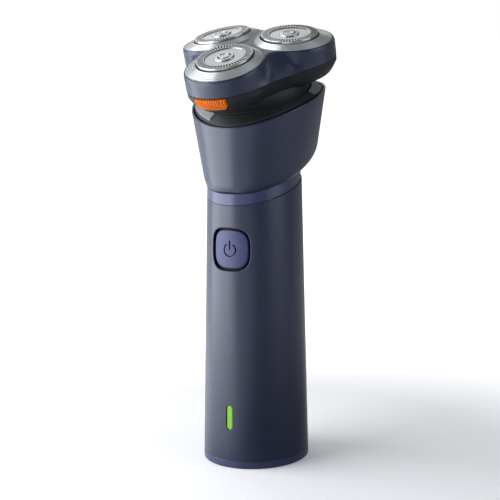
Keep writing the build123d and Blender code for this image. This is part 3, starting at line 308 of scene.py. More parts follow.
def new_material(name):
    """Empty node material, with its tree."""
    made = bpy.data.materials.new(name)
    made.use_nodes = True
    made.node_tree.nodes.clear()
    return made, made.node_tree


def finish_with(tree, surface, height=None, depth=0.0, **sockets):
    """Principled surface over a height pattern that is so many mm deep, with values by socket."""
    values = {name.replace("_", " "): value for name, value in sockets.items()}
    shader = add_node(tree, "BsdfPrincipled", {**surface, **values})
    if height is not None:
        bump = add_node(tree, "Bump", {"Height": height, "Distance": depth * MM, "Strength": 1.0})
        tree.links.new(bump.outputs[0], shader.inputs["Normal"])
    add_node(tree, "OutputMaterial", {"Surface": shader.outputs[0]})


def wear(piece, *finishes):
    """Gives a piece its materials in slot order."""
    piece.data.materials.clear()
    for finish in finishes:
        piece.data.materials.append(finish)


def mottled(name, dark, light, drift, grain, depth, sheen=None, **sockets):
    """Material whose colour drifts between two tints over so many mm, over a fine grain of so many
    mm across and deep. A sheen is the range of its roughness over the grain."""
    made, tree = new_material(name)
    place = add_node(tree, "TexCoord").outputs["Object"]
    clouds = add_node(tree, "TexNoise", {"Vector": place, "Scale": 1 / (drift * MM), "Detail": 3.0})
    tint = add_node(tree, "MapRange", {"Value": clouds.outputs[0], "From Min": 0.3, "From Max": 0.7})
    colour = add_node(tree, "Mix", {"Factor": tint.outputs[0], "A": linear(dark), "B": linear(light)},
                      data_type="RGBA")
    fine = add_node(tree, "TexNoise", {"Vector": place, "Scale": 1 / (grain * MM), "Detail": 2.0})
    surface = {"Base Color": colour.outputs["Result"]}
    if sheen:
        gloss = add_node(tree, "MapRange", {"Value": fine.outputs[0], "From Min": 0.3, "From Max": 0.7,
                                            "To Min": sheen[0], "To Max": sheen[1]})
        surface["Roughness"] = gloss.outputs[0]
    finish_with(tree, surface, fine.outputs[0], depth, **sockets)
    return made


def speckled(name, dark, light, per_metre, detail, depth=0.0, sheen=None, **sockets):
    """Material whose tint, sheen and relief, so many mm deep, all follow one noise."""
    made, tree = new_material(name)
    place = add_node(tree, "TexCoord").outputs["Object"]
    noise = add_node(tree, "TexNoise", {"Vector": place, "Scale": per_metre, "Detail": detail}).outputs[0]
    colour = add_node(tree, "Mix", {"Factor": noise, "A": linear(dark), "B": linear(light)}, data_type="RGBA")
    surface = {"Base Color": colour.outputs["Result"]}
    if sheen:
        gloss = add_node(tree, "MapRange", {"Value": noise, "From Min": 0.3, "From Max": 0.7,
                                            "To Min": sheen[0], "To Max": sheen[1]})
        surface["Roughness"] = gloss.outputs[0]
    finish_with(tree, surface, noise if depth else None, depth, **sockets)
    return made


def dress(finish, *names):
    """Gives CAD nodes one finish."""
    for name in names:
        wear(nodes[name], finish)


# Polycarbonate tinted blue violet, polished tool: clear gloss, with faint flow clouds in the tint.
violet_polycarbonate = mottled("tinted_polycarbonate", "2f3557", "363c60", 6.0, 0.4, 0.004,
                               Roughness=0.34, IOR=1.58, Coat_Weight=0.05, Coat_Roughness=0.2)
wear(base_cap, violet_polycarbonate)
settle(base_cap, "handle", "violet_plastic", "base_cap")

# ---------------------------------------------------------------- handle shell
# One-piece tapered tube of navy ABS, moulded with a fine spark-eroded surface. Its top is cut on
# the slope and steps in to a spigot that carries the collar, and its front is pierced twice.
BAND_TILT, BAND_FOOT, BAND_TOP, BAND_DEPTH = 15.1, 105.2, 109.6, 1.3
SPIGOT_FOOT, SPIGOT_TOP, SPIGOT_BORE = 96.0, 112.0, 2.9
handle = skin("handle_tube", [
    on_handle(BASE_CAP_HEIGHT, EDGE_BREAK),
    on_handle(BASE_CAP_HEIGHT + EDGE_BREAK),
    on_handle(BAND_FOOT - 0.15, 0, BAND_TILT),
    on_handle(BAND_FOOT, 0.15, BAND_TILT),
    on_handle(BAND_FOOT, BAND_DEPTH, BAND_TILT),
    on_handle(SPIGOT_TOP, BAND_DEPTH, BAND_TILT),
    on_handle(SPIGOT_TOP, SPIGOT_BORE, BAND_TILT),
    on_handle(SPIGOT_FOOT, SPIGOT_BORE),
    on_handle(SPIGOT_FOOT, HANDLE_WALL),
    on_handle(BASE_CAP_HEIGHT, HANDLE_WALL),
], closed=True)


def squircle(width, height, middle):
    """Softly squared outline, seen square from the front."""
    soft = 2 / 3.2

    def place(turn):
        across, up = math.cos(turn), math.sin(turn)
        return (math.copysign(abs(across) ** soft, across) * width / 2,
                middle + math.copysign(abs(up) ** soft, up) * height / 2)

    return place


def stadium(width, height, middle):
    """Outline of an upright slot with round ends, seen square from the front."""
    return lambda turn: (math.cos(turn) * width / 2, middle + math.sin(turn) * width / 2
                         + math.copysign((height - width) / 2, math.sin(turn)))


def sunk(outline, inset):
    """Ring of an outline laid on the front of the handle, at an inset under its surface."""

    def place(turn):
        across, height = outline(turn)
        share = min(1.0, abs(across) / (half_width(height) - inset))
        return Vector((across, -(half_depth(height) - inset) * math.sqrt(1 - share**2), height)) * MM

    return place


def rim_rings(shape, sizes, rounding, inset, steps=5):
    """Rings over the rounded rim of a key: out of its side and on to its face."""
    turns = [math.pi / 2 * step / steps for step in range(steps + 1)]
    return [sunk(shape(*(size - 2 * rounding * (1 - math.cos(t)) for size in sizes[:2]), sizes[2]),
                 inset + rounding * (1 - math.sin(t))) for t in turns]


def mouth_rings(shape, sizes, rounding, steps=4):
    """Rings of a cutter whose neck flares, so that the hole it cuts has a rounded mouth."""
    turns = [math.pi / 2 * step / steps for step in range(steps + 1)]
    flare = [sunk(shape(*(size + 2 * rounding * (1 - math.sin(t)) for size in sizes[:2]), sizes[2]),
                  rounding * (1 - math.cos(t))) for t in turns]
    return [sunk(shape(*(size + 2 * rounding for size in sizes[:2]), sizes[2]), -1.0), *flare,
            sunk(shape(*sizes), 6.0)]


def face_rings(shape, sizes, inset, shares=(0.85, 0.65, 0.45, 0.25, 0.08)):
    """Rings that close a face towards its middle, on the handle's curve."""
    return [sunk(shape(sizes[0] * share, sizes[1] * share, sizes[2]), inset) for share in shares]


BUTTON_OPENING = (15.7, 16.0, 83.3)
LENS_OPENING = (2.6, 9.5, 19.45)
carve(handle, skin("button_hole", mouth_rings(squircle, BUTTON_OPENING, 0.45), 128))
carve(handle, skin("lens_hole", mouth_rings(stadium, LENS_OPENING, 0.15), 48))

# Navy ABS, semi-gloss: the eroded grain is 0.2 mm fine and breaks up the softbox's edges.
navy_abs = mottled("moulded_navy_abs", "1f2740", "222a45", 11.1111, 0.2, 0.006, sheen=(0.31, 0.36), IOR=1.53)
wear(handle, navy_abs)
settle(handle, "handle", "navy_plastic", "handle_shell")

# ---------------------------------------------------------------- charge indicator
# Light pipe of green tinted acrylic, pressed into its slot and a little sunk. A painted glow, its own
# colour faintly given off, stands for the lamp behind it and makes it brighter than the plastic round it.
lens_size = (LENS_OPENING[0] - 0.02, LENS_OPENING[1] - 0.02, LENS_OPENING[2])
lens = skin("indicator_pipe", [
    sunk(stadium(*lens_size), 3.4),
    *rim_rings(stadium, lens_size, 0.4, 0.35),
    *face_rings(stadium, (lens_size[0] - 0.8, lens_size[1] - 0.8, lens_size[2]), 0.35, (0.7, 0.3)),
], 48)
green_acrylic, tree = new_material("green_acrylic")
where = add_node(tree, "TexCoord")
clouds = add_node(tree, "TexNoise", {"Vector": where.outputs["Object"], "Scale": 500.0, "Detail": 1.0})
colour = add_node(tree, "Mix", {"Factor": clouds.outputs[0], "A": linear("6fb417"), "B": linear("83c42a")},
                  data_type="RGBA")
finish_with(tree, {"Base Color": colour.outputs["Result"], "Emission Color": colour.outputs["Result"]},
            Roughness=0.25, IOR=1.49, Emission_Strength=0.18)
wear(lens, green_acrylic)
settle(lens, "handle", "green_lens", "indicator_lens")

# ---------------------------------------------------------------- power button
# Violet polycarbonate key that follows the handle's curve, sunk 0.7 mm with an even gap round it.
# A flange behind the shell keeps it in, and its stem presses the switch. The usual standby sign
# is engraved in its face.
KEY_RECESS, KEY_ROUND = 0.7, 0.45
key_size = (BUTTON_OPENING[0] - 1.7, BUTTON_OPENING[1] - 1.7, BUTTON_OPENING[2])
flange_size = (BUTTON_OPENING[0] + 1.8, BUTTON_OPENING[1] + 1.8, BUTTON_OPENING[2])
button = skin("power_key", [
    *reversed(face_rings(squircle, flange_size, 2.95)),
    sunk(squircle(*flange_size), 2.95),
    sunk(squircle(*flange_size), 2.15),
    sunk(squircle(*key_size), 2.15),
    *rim_rings(squircle, key_size, KEY_ROUND, KEY_RECESS),
    *face_rings(squircle, (*(size - 2 * KEY_ROUND for size in key_size[:2]), key_size[2]), KEY_RECESS),
], 128)
facing = Matrix.Translation((0, 0, BUTTON_OPENING[2] * MM)) @ Matrix.Rotation(math.pi / 2, 4, "X")
carve(button, rod("key_stem", 1.6, 15.0, 17.6, facing), "UNION")

# The engraving is paint filled, a darker violet than the key.
sign_paint = speckled("dark_violet_paint", "3a3f60", "434868", 900.0, 2.0, Roughness=0.5)

# The key is painted paler than the bands of the same tint, a painted glow of light through it.
lit_key_polycarbonate = mottled("painted_light_tinted_polycarbonate", "3d426a", "444971", 6.0, 0.4, 0.004,
                            Roughness=0.5, IOR=1.45)

# Black elastomer: dull, with a dusty look at a low angle. It also stands as painted shade in the gap round
# the key and inside the caps' slots.
black_rubber_and_shade = speckled("black_elastomer_and_painted_shade", "101012", "1c1c1e", 1200.0, 3.0, 0.01, Roughness=0.75)

wear(button, lit_key_polycarbonate, sign_paint, black_rubber_and_shade)
sign_floor = 18.95


def depth_under_handle(point):
    """How far inside the handle's surface a point lies, in mm, measured along its depth."""
    share = min(1.0, abs(point.x / MM) / half_width(point.z / MM))
    return half_depth(point.z / MM) * math.sqrt(1 - share**2) - abs(point.y / MM)


def arc_block(name, inner, outer, start, end, near, far, middle, steps=40):
    """Curved bar with square ends between two radii and two angles, seen from the front."""
    bpy.ops.mesh.primitive_grid_add(x_subdivisions=steps, y_subdivisions=1, size=2)
    bar = bpy.context.object
    bar.name = name
    for point in bar.data.vertices:
        angle = math.radians(start + (end - start) * (point.co.x + 1) / 2)
        radius = inner if point.co.y < 0 else outer
        point.co = Vector((radius * math.cos(angle), -far, middle + radius * math.sin(angle))) * MM
    activate(bar)
    bpy.ops.object.mode_set(mode="EDIT")
    bpy.ops.mesh.select_all(action="SELECT")
    bpy.ops.mesh.extrude_region_move(TRANSFORM_OT_translate={"value": (0, (far - near) * MM, 0)})
    face_outwards()
    return bar


for tool in (arc_block("sign_ring", 2.1, 2.68, 122, 418, sign_floor, 24, 83.1),
             box("sign_bar", (-0.29, -24, 83.2), (0.29, -sign_floor, 86.5))):
    wear(tool, sign_paint)
    carve(button, tool)
# Faces deep behind the shell take the black elastomer: a rubber seal, and painted shade in the gap round the
# key.
for face in button.data.polygons:
    middle = face.center
    if depth_under_handle(middle) > 1.6 and face.material_index == 0:
        face.material_index = 2
settle(button, "power_button", "violet_plastic", "power_button")
dress(black_rubber_and_shade, "button_gasket", "shaft_seal")

# ---------------------------------------------------------------- neck band
# Ring of the same tinted polycarbonate, slipped over the spigot and a little sunk under the shell.
# In front, a flush window of it shows the charge lights when they are lit.
BAND_REVEAL, WINDOW_HALF_ANGLE = 0.4, 51.0


def keep_sector(piece, middle, half_angle, inside=True):
    """Keeps what lies inside or outside a sector about the upright axis, and closes the cuts."""
    activate(piece)
    bpy.ops.object.mode_set(mode="EDIT")
    bpy.ops.mesh.select_mode(type="FACE")
    for side in (-1, 1):
        edge_turn = math.radians(middle + side * half_angle)
        bpy.ops.mesh.select_all(action="SELECT")
        bpy.ops.mesh.bisect(plane_co=(0, 0, 0), plane_no=(-math.sin(edge_turn), math.cos(edge_turn), 0))
    shape = bmesh.from_edit_mesh(piece.data)
    way = math.radians(middle)
    for face in shape.faces:
        centre = face.calc_center_median()
        ahead = (centre.x * math.cos(way) + centre.y * math.sin(way)) / centre.xy.length
        off = math.acos(max(-1, min(1, ahead)))
        face.select = (off > math.radians(half_angle)) == inside
    bmesh.update_edit_mesh(piece.data)
    bpy.ops.mesh.delete(type="FACE")
    bpy.ops.mesh.select_all(action="SELECT")
    bpy.ops.mesh.fill_holes(sides=0)
    face_outwards()
    return piece


def band(name, inset):
    """Sloping ring between the shell and the collar, its two outer edges slightly broken."""
    return skin(name, [
        on_handle(BAND_FOOT + 0.02, inset + 0.1, BAND_TILT),
        on_handle(BAND_FOOT + 0.12, inset, BAND_TILT),
        on_handle(BAND_TOP - 0.12, inset, BAND_TILT),
        on_handle(BAND_TOP - 0.02, inset + 0.1, BAND_TILT),
        on_handle(BAND_TOP - 0.02, BAND_DEPTH, BAND_TILT),
        on_handle(BAND_FOOT + 0.02, BAND_DEPTH, BAND_TILT),
    ], closed=True)


ring = keep_sector(band("band_ring", BAND_REVEAL), -90, WINDOW_HALF_ANGLE, inside=False)
wear(ring, violet_polycarbonate)
settle(ring, "handle", "violet_plastic", "neck_ring")
window = keep_sector(band("band_window", 0.0), -90, WINDOW_HALF_ANGLE)
window_polycarbonate = mottled("clear_tinted_polycarbonate", "343a5e", "3b4166", 8.0, 0.5, 0.002,
                               Roughness=0.3, IOR=1.55)
wear(window, window_polycarbonate)
settle(window, "handle", "violet_window", "neck_window")

# ---------------------------------------------------------------- collar
# Navy ABS cup that widens from the neck band to a high oval mouth. It is one moulding with a soft
# corner low down and an arched rim whose lip is rounded and thin.
COLLAR_LIP, CORNER_ROUND = 0.35, 5.0
RIM_TILT, RIM_BACK, RIM_HEIGHT, RIM_CROWN = 15.8, 3.7, 139.1, 2.7
RIM_HALF_WIDTH, RIM_HALF_DEPTH = 24.8, 27.8
CORNER_TILT, CORNER_BACK, CORNER_HEIGHT = 20.0, 5.3, 113.8
CORNER_HALF_WIDTH, CORNER_HALF_DEPTH = 19.9, 26.4
OVER_RIM = 6.0
SPARE = OVER_RIM / (RIM_HEIGHT - CORNER_HEIGHT)
COLLAR_WALL, RIM_WALL = 2.0, 1.1


def leaning(tilt, back, height):
    """Plane that leans to the front: its x axis points right and its z axis up."""
    return Matrix.Translation((0, back * MM, height * MM)) @ Matrix.Rotation(math.radians(tilt), 4, "X")


def oval(plane, tilt, wide, deep):
    """Ring on a leaning plane whose plan is an oval."""
    along = deep / math.cos(math.radians(tilt))
    return lambda turn: plane @ (Vector((wide * math.cos(turn), along * math.sin(turn), 0)) * MM)


rim_plane = leaning(RIM_TILT, RIM_BACK, RIM_HEIGHT)
rim_reach = RIM_HALF_DEPTH / math.cos(math.radians(RIM_TILT))
rim_arch = (rim_reach**2 + RIM_CROWN**2) / (2 * RIM_CROWN)


def collar_wall(low_inset, high_inset):
    """The three ring functions of the collar's wall at an inset: foot, corner and past the rim."""
    foot_inset = low_inset - COLLAR_LIP
    return (
        oval(leaning(BAND_TILT, 0, BAND_TOP), BAND_TILT, half_width(BAND_TOP) - foot_inset,
             half_depth(BAND_TOP) - foot_inset * math.cos(math.radians(BAND_TILT))),
        oval(leaning(CORNER_TILT, CORNER_BACK, CORNER_HEIGHT), CORNER_TILT, CORNER_HALF_WIDTH - low_inset,
             CORNER_HALF_DEPTH - low_inset * math.cos(math.radians(CORNER_TILT))),
        oval(leaning(RIM_TILT, RIM_BACK + SPARE * (RIM_BACK - CORNER_BACK), RIM_HEIGHT + OVER_RIM), RIM_TILT,
             RIM_HALF_WIDTH + SPARE * (RIM_HALF_WIDTH - CORNER_HALF_WIDTH) - high_inset,
             RIM_HALF_DEPTH + SPARE * (RIM_HALF_DEPTH - CORNER_HALF_DEPTH)
             - high_inset * math.cos(math.radians(RIM_TILT))),
    )


def on_collar(low_inset, high_inset, below_rim):
    """Ring on the collar's wall at a depth under its arched rim."""
    _, corner, top = collar_wall(low_inset, high_inset)

    def place(turn):
        start, end = corner(turn), top(turn)
        share = 0.8
        for _ in range(6):
            local = rim_plane.inverted() @ start.lerp(end, share) / MM
            arch = math.sqrt(rim_arch**2 - local.y**2) - rim_arch - below_rim
            rise = (rim_plane.inverted() @ end - rim_plane.inverted() @ start).z / MM
            share += (arch - local.z) / rise
        return start.lerp(end, share)

    return place


def round_corner(share, low_inset, high_inset):
    """Ring part of the way round the soft corner."""
    foot, corner, top = collar_wall(low_inset, high_inset)

    def place(turn):
        low, middle, high = foot(turn), corner(turn), top(turn)
        down, up = (low - middle).normalized(), (high - middle).normalized()
        bend = math.pi - down.angle(up)
        run = CORNER_ROUND * math.tan(bend / 2) * MM
        start, end = middle + down * run, middle + up * run
        return start * (1 - share) ** 2 + middle * 2 * share * (1 - share) + end * share**2

    return place


LIP = 0.5
collar = skin("collar_cup", [
    collar_wall(0.12, 0)[0],
    on_handle(BAND_TOP + 0.12, -COLLAR_LIP - 0.05, BAND_TILT),
    *[round_corner(step / 8, 0, 0) for step in range(9)],
    on_collar(0, 0, 8.0),
    on_collar(0, 0, LIP),
    on_collar(0, 0.08, LIP * 0.45),
    on_collar(0, 0.28, LIP * 0.1),
    on_collar(0, LIP + 0.05, 0.0),
    on_collar(0, 0.85, LIP * 0.12),
    on_collar(0, 1.05, LIP * 0.5),
    on_collar(0, RIM_WALL, 1.2),
    on_collar(COLLAR_WALL, RIM_WALL, 8.0),
    *[round_corner(step / 4, COLLAR_WALL, RIM_WALL) for step in range(4, -1, -1)],
    collar_wall(1.65, RIM_WALL)[0],
], closed=True)
wear(collar, navy_abs)
settle(collar, "handle", "navy_plastic", "collar")

# ---------------------------------------------------------------- deck
# Dark grey ABS shelf that closes the collar's mouth: a 45 degree cone falls from the neck to the
# collar's wall, and its flange carries the neck above and the motor below.
dark_abs = mottled("moulded_dark_grey_abs", "121416", "16191b", 9.0, 0.2, 0.008, Roughness=0.55, IOR=1.45)

HEAD_TILT = 19.1
head = leaning(HEAD_TILT, -6.96, 159.55)


def hoop(plane, radius, level, shift=0.0):
    """Round ring at a level over a plane, its middle moved along the plane's x axis."""
    return lambda turn: plane @ (Vector((shift + radius * math.cos(turn), radius * math.sin(turn),
                                         level)) * MM)


def on_head(across, back, level):
    """Point over the head's own plane, from mm."""
    return head @ (Vector((across, back, level)) * MM)


def collar_core(inset=0.0):
    """Solid inside of the collar, for cutting what fits in it."""
    return skin("core", collar_wall(COLLAR_WALL + inset, RIM_WALL + inset))


def polar(plane, angle, reach, splay=0.0):
    """Plane moved out at an angle, its x axis pointing away from the middle."""
    return (plane @ Matrix.Rotation(math.radians(angle), 4, "Z") @ Matrix.Translation((reach * MM, 0, 0))
            @ Matrix.Rotation(math.radians(splay), 4, "Y"))


DECK_LEVEL, DECK_RADIUS, DECK_FALL = -20.4, 21.6, 9.5
DECK_SEAT, FLANGE_TOP, FLANGE_FOOT, SHAFT_ROOM, SCREW_BORE = 19.4, -22.4, -24.0, 6.4, 0.9
deck = skin("deck_cone", [
    hoop(head, SHAFT_ROOM, FLANGE_TOP), hoop(head, DECK_SEAT, FLANGE_TOP),
    hoop(head, DECK_SEAT, DECK_LEVEL - 0.1),
    hoop(head, 19.5, DECK_LEVEL), hoop(head, DECK_RADIUS, DECK_LEVEL),
    hoop(head, DECK_RADIUS + DECK_FALL, DECK_LEVEL - DECK_FALL),
    hoop(head, DECK_RADIUS + DECK_FALL, DECK_LEVEL - DECK_FALL - 2.26),
    hoop(head, DECK_RADIUS + 1.34, FLANGE_FOOT), hoop(head, SHAFT_ROOM, FLANGE_FOOT),
], closed=True)
carve(deck, collar_core(), "INTERSECT")
for angle in (30, 150, 270):
    carve(deck, rod("motor_post", 2.4, -25.6, -23.9, polar(head, angle, 14.0)), "UNION")
    carve(deck, rod("post_bore", SCREW_BORE, -27, -23.0, polar(head, angle, 14.0)))
for angle in (90, 210, 330):
    carve(deck, rod("screw_bore", SCREW_BORE, -26, -20, polar(head, angle, 13.0)))
wear(deck, dark_abs)
settle(deck, "handle", "dark_grey_plastic", "deck")

# ---------------------------------------------------------------- deck pads
# Two pads of pale grey ABS with a coarse blasted face, glued on the cone at the two wide corners
# of the mouth. Their ends are cut in line, across the deck.
pads = skin("cone_pads", [
    hoop(head, DECK_RADIUS + 0.35, DECK_LEVEL - 0.35), hoop(head, 40, DECK_LEVEL - 40 + DECK_RADIUS),
    hoop(head, 40, DECK_LEVEL - 40 + DECK_RADIUS + 0.71), hoop(head, DECK_RADIUS + 0.41, DECK_LEVEL + 0.30),
    hoop(head, DECK_RADIUS + 0.35, DECK_LEVEL + 0.2),
], closed=True)
activate(pads)
strip = head @ Matrix.Rotation(math.radians(41.0), 4, "Z")
bpy.ops.object.mode_set(mode="EDIT")
for side in (-1, 1):
    bpy.ops.mesh.select_all(action="SELECT")
    bpy.ops.mesh.bisect(plane_co=strip @ Vector((0, side * 12.6 * MM, 0)), plane_no=strip.col[1].xyz * side,
                        use_fill=True, clear_outer=True)
bpy.ops.object.mode_set(mode="OBJECT")
carve(pads, collar_core(0.35), "INTERSECT")
blasted_abs, tree = new_material("blasted_grey_abs")
where = add_node(tree, "TexCoord")
grit = add_node(tree, "TexNoise", {"Vector": where.outputs["Object"], "Scale": 2600.0, "Detail": 3.0})
speck = add_node(tree, "MapRange", {"Value": grit.outputs[0], "From Min": 0.35, "From Max": 0.65})
colour = add_node(tree, "Mix", {"Factor": speck.outputs[0], "A": linear("5c5e62"), "B": linear("7b7d82")},
                  data_type="RGBA")
finish_with(tree, {"Base Color": colour.outputs["Result"]}, grit.outputs[0], 0.06, Roughness=0.6, IOR=1.5)
wear(pads, blasted_abs)
settle(pads, "handle", "light_grey_pad", "deck_pads")

# ---------------------------------------------------------------- neck
# Dark grey skirt that flares down on to the deck in a smooth cove, with a thin rounded foot.
neck_line = [(21.15, -20.38), (21.4, -20.25), (21.4, -20.1), (20.95, -19.75), (20.2, -18.8), (19.75, -17.9),
             (19.4, -17.0), (19.4, -15.8)]
neck = skin("neck_cove", [hoop(head, radius, level) for radius, level in neck_line]
            + [hoop(head, radius, level) for radius, level in
               ((17.8, -15.8), (17.8, -17.0), (18.6, -18.8), (19.8, -20.38))], closed=True)
wear(neck, dark_abs)
settle(neck, "handle", "dark_grey_plastic", "neck_skirt")

# ---------------------------------------------------------------- head tray
# Dark grey ABS bowl under the shaving unit, three lobes round the gears. Its underside runs in
# one hollow curve into the neck, and its front wall is cut for the release button.
SEAM_LEVEL, SEAM_GAP, TRAY_WALL = -10.34, 0.14, 1.4
TRAY_RINGS = ((SEAM_LEVEL, 17.5, 15.2, 112.0), (-12.3, 17.4, 15.1, 40.0), (-15.7, 17.0, 13.1, 40.0),
              (-16.9, 15.5, 11.9, 30.0), (-18.4, 12.5, 10.5, 30.0))


def lobe_reach(turn, reach, lobe, hollow):
    """Distance from the middle to an outline of three lobes joined by hollow arcs."""
    off = math.radians(abs((math.degrees(turn) - 30 + 60) % 120 - 60))
    half = reach * math.sin(math.radians(60))
    far = reach * math.cos(math.radians(60)) + math.sqrt((lobe + hollow) ** 2 - half**2)
    middle = Vector((reach, 0))
    touch = middle + (Vector((far / 2, far * math.sqrt(3) / 2)) - middle).normalized() * lobe
    if off < math.atan2(touch.y, touch.x):
        return reach * math.cos(off) + math.sqrt(lobe**2 - (reach * math.sin(off)) ** 2)
    rest = math.radians(60) - off
    return far * math.cos(rest) - math.sqrt(hollow**2 - (far * math.sin(rest)) ** 2)


def lobed(level, reach, lobe, hollow, grow=0.0):
    """Ring of three lobes at a level of the head, grown outwards."""

    def place(turn):
        out = lobe_reach(turn, reach, lobe, hollow) + grow
        return on_head(out * math.cos(turn), out * math.sin(turn), level)

    return place


def smooth_between(rings, steps):
    """The rings with more laid between them on a smooth curve through all of them."""
    made = []
    for index in range(len(rings) - 1):
        around = [rings[max(0, min(len(rings) - 1, index + k))] for k in (-1, 0, 1, 2)]

        def place(turn, share=0.0, around=around):
            a, b, c, d = (ring(turn) for ring in around)
            return 0.5 * (2 * b + (c - a) * share + (2 * a - 5 * b + 4 * c - d) * share**2
                          + (3 * b - a - 3 * c + d) * share**3)

        made += [lambda turn, share=step / steps, place=place: place(turn, share) for step in range(steps)]
    return [*made, rings[-1]]


LOBE_SIDES = 288
tray_outside = smooth_between([lobed(*ring) for ring in reversed(TRAY_RINGS[1:])], 4)
tray = skin("tray_bowl", [
    *tray_outside,
    lobed(*TRAY_RINGS[0], -0.05),
    lobed(*TRAY_RINGS[0], -0.15),
    lobed(*TRAY_RINGS[0], -TRAY_WALL),
    lobed(*TRAY_RINGS[1], -TRAY_WALL),
    lobed(-14.2, 17.2, 14.1, 40.0, -TRAY_WALL),
    hoop(head, 1.4, -14.2),
], LOBE_SIDES)
carve(tray, rod("neck_room", 17.8, -20, -15.8, head, LOBE_SIDES))
carve(tray, rod("shaft_hole", 1.4, -17, -13, head))


def front_prism(name, outline, near, far):
    """Upright block with an outline seen square from the front, between two distances."""
    bpy.ops.mesh.primitive_circle_add(vertices=len(outline), radius=1, fill_type="NGON")
    block = bpy.context.object
    block.name = block.data.name = name
    for point, (across, level) in zip(block.data.vertices, outline):
        point.co = Vector((across, -near, level)) * MM
    activate(block)
    bpy.ops.object.mode_set(mode="EDIT")
    bpy.ops.mesh.select_all(action="SELECT")
    bpy.ops.mesh.extrude_region_move(TRANSFORM_OT_translate={"value": (0, (near - far) * MM, 0)})
    face_outwards()
    block.data.transform(head)
    return block


KEY_HALF, KEY_FOOT_HALF, KEY_TOP, KEY_SHOULDER, KEY_BOTTOM = 6.3, 4.9, -10.75, -13.4, -15.0


def key_outline(grow, top):
    """Corners of the release button seen from the front, grown all round below a top."""
    side, foot = KEY_HALF + grow, KEY_FOOT_HALF + grow
    return [(-side, top), (-side, KEY_SHOULDER), (-foot, KEY_BOTTOM - grow),
            (foot, KEY_BOTTOM - grow), (side, KEY_SHOULDER), (side, top)]


carve(tray, front_prism("key_opening", key_outline(0.3, -9.0), 25.2, 40))
GUARD_ANGLES, GUARD_REACH, GUARD_SPLAY, GEAR_REACH = (-90, 30, 150), 16.58, 5.5, 16.0
HINGE_BACK, HINGE_ROOT, KNUCKLE_HALF, KNUCKLE_RADIUS, PIN_RADIUS = 25.2, 21.9, 3.2, 1.7, 0.8
hinge = (head @ Matrix.Translation((0, HINGE_BACK * MM, SEAM_LEVEL * MM))
         @ Matrix.Rotation(math.pi / 2, 4, "Y"))
for angle in (90, 210, 330):
    carve(tray, rod("neck_post", 2.3, -22.4, -15.7, polar(head, angle, 13.0)), "UNION")
    carve(tray, rod("neck_post_bore", SCREW_BORE, -23, -17.0, polar(head, angle, 13.0)))
    carve(tray, rod("cover_post", 1.5, -14.3, -11.5, polar(head, angle, 16.8)), "UNION")
    carve(tray, rod("cover_post_bore", SCREW_BORE, -13.7, -11, polar(head, angle, 16.8)))
for angle in GUARD_ANGLES:
    carve(tray, rod("gear_axle", 1.2, -14.3, -12.9, polar(head, angle, GEAR_REACH)), "UNION")
carve(tray, rod("seal_seat", 5.7, -17.6, -15.7, head), "UNION")
carve(tray, rod("seal_bore", 4.5, -18, -15.8, head))
carve(tray, box("knuckle_root", (-KNUCKLE_HALF, HINGE_ROOT, SEAM_LEVEL - KNUCKLE_RADIUS),
                (KNUCKLE_HALF, HINGE_BACK, SEAM_LEVEL - SEAM_GAP), head), "UNION")
carve(tray, rod("knuckle", KNUCKLE_RADIUS, -KNUCKLE_HALF, KNUCKLE_HALF, hinge), "UNION")
carve(tray, rod("knuckle_bore", PIN_RADIUS, -4, 4, hinge))
wear(tray, dark_abs)
settle(tray, "handle", "dark_grey_plastic", "head_tray")

# ---------------------------------------------------------------- release button
# Orange ABS button in the front of the tray, with fourteen rounded upright ribs for the thumb. Its
# flange sits behind the tray's wall, and a hook on top stands by the catch of the shaving unit.
KEY_PROUD, RIB_DEPTH, RIB_STEP = 0.6, 0.6, KEY_HALF / 7


def ribbed(level, reach, lobe, hollow):
    """Ring a little proud of the tray, with upright ribs that are round and meet in sharp grooves."""

    def place(turn):
        out = lobe_reach(turn, reach, lobe, hollow) + KEY_PROUD
        dome = math.sqrt(abs(math.sin(math.pi * out * math.cos(turn) / RIB_STEP)))
        out -= RIB_DEPTH * (1 - dome)
        return on_head(out * math.cos(turn), out * math.sin(turn), level)

    return place


def tray_core(inset):
    """Solid in the shape of the tray, smaller all round by an inset."""
    return skin("tray_core", [lobed(*ring, -inset) for ring in reversed(TRAY_RINGS[1:])]
                + [lobed(-9.0, *TRAY_RINGS[0][1:], -inset)], LOBE_SIDES)


release = front_prism("release_key", key_outline(0, KEY_TOP), 20, 40)
grip = skin("grip", smooth_between([ribbed(*ring) for ring in reversed(TRAY_RINGS)], 4), 1440)
carve(release, grip, "INTERSECT")
flange = box("flange", (-7.6, -40, -13.9), (7.6, -25.9, KEY_TOP), head)
carve(flange, tray_core(1.7), "INTERSECT")
carve(release, flange, "UNION")
carve(release, tray_core(2.7))
carve(release, box("hook", (-3.0, -30.3, KEY_TOP - 0.5), (3.0, -29.1, -8.4), head), "UNION")
carve(release, box("hook_nose", (-3.0, -30.4, -9.1), (3.0, -29.5, -8.4), head), "UNION")
orange_abs = mottled("orange_abs", "e4720e", "ee7f18", 4.0, 0.2, 0.006, Roughness=0.5, IOR=1.4)
wear(release, orange_abs)
settle(release, "release_button", "orange_plastic", "release_button")

# ---------------------------------------------------------------- head frame
# Navy ABS housing of the shaving unit. Three tilted flats meet in soft ridges on its top, its rim
# is rounded, and each flat has a round hole and a groove that takes the foot of a silver ring.
FRAME_FOOT, FLAT_LEVEL, RIM_ROUND, RIM_LEAN = SEAM_LEVEL + SEAM_GAP, -2.4, 1.6, 0.6
RING_RADIUS, RING_SHIFT, RING_FOOT, RING_PLAY = 14.5, 1.2, -3.65, 0.05
RING_INNER, INNER_SHIFT = 13.3, 0.9
FRAME_RINGS = ((FRAME_FOOT, 17.5, 15.2, 112.0), (-4.4, 17.7, 15.12, 12.0), (-0.6, 17.7, 15.1, 3.5))
guard_planes = [polar(head, angle, GUARD_REACH, GUARD_SPLAY) for angle in GUARD_ANGLES]
flats = [head.inverted() @ plane @ Matrix.Translation((0, 0, FLAT_LEVEL * MM)) for plane in guard_planes]


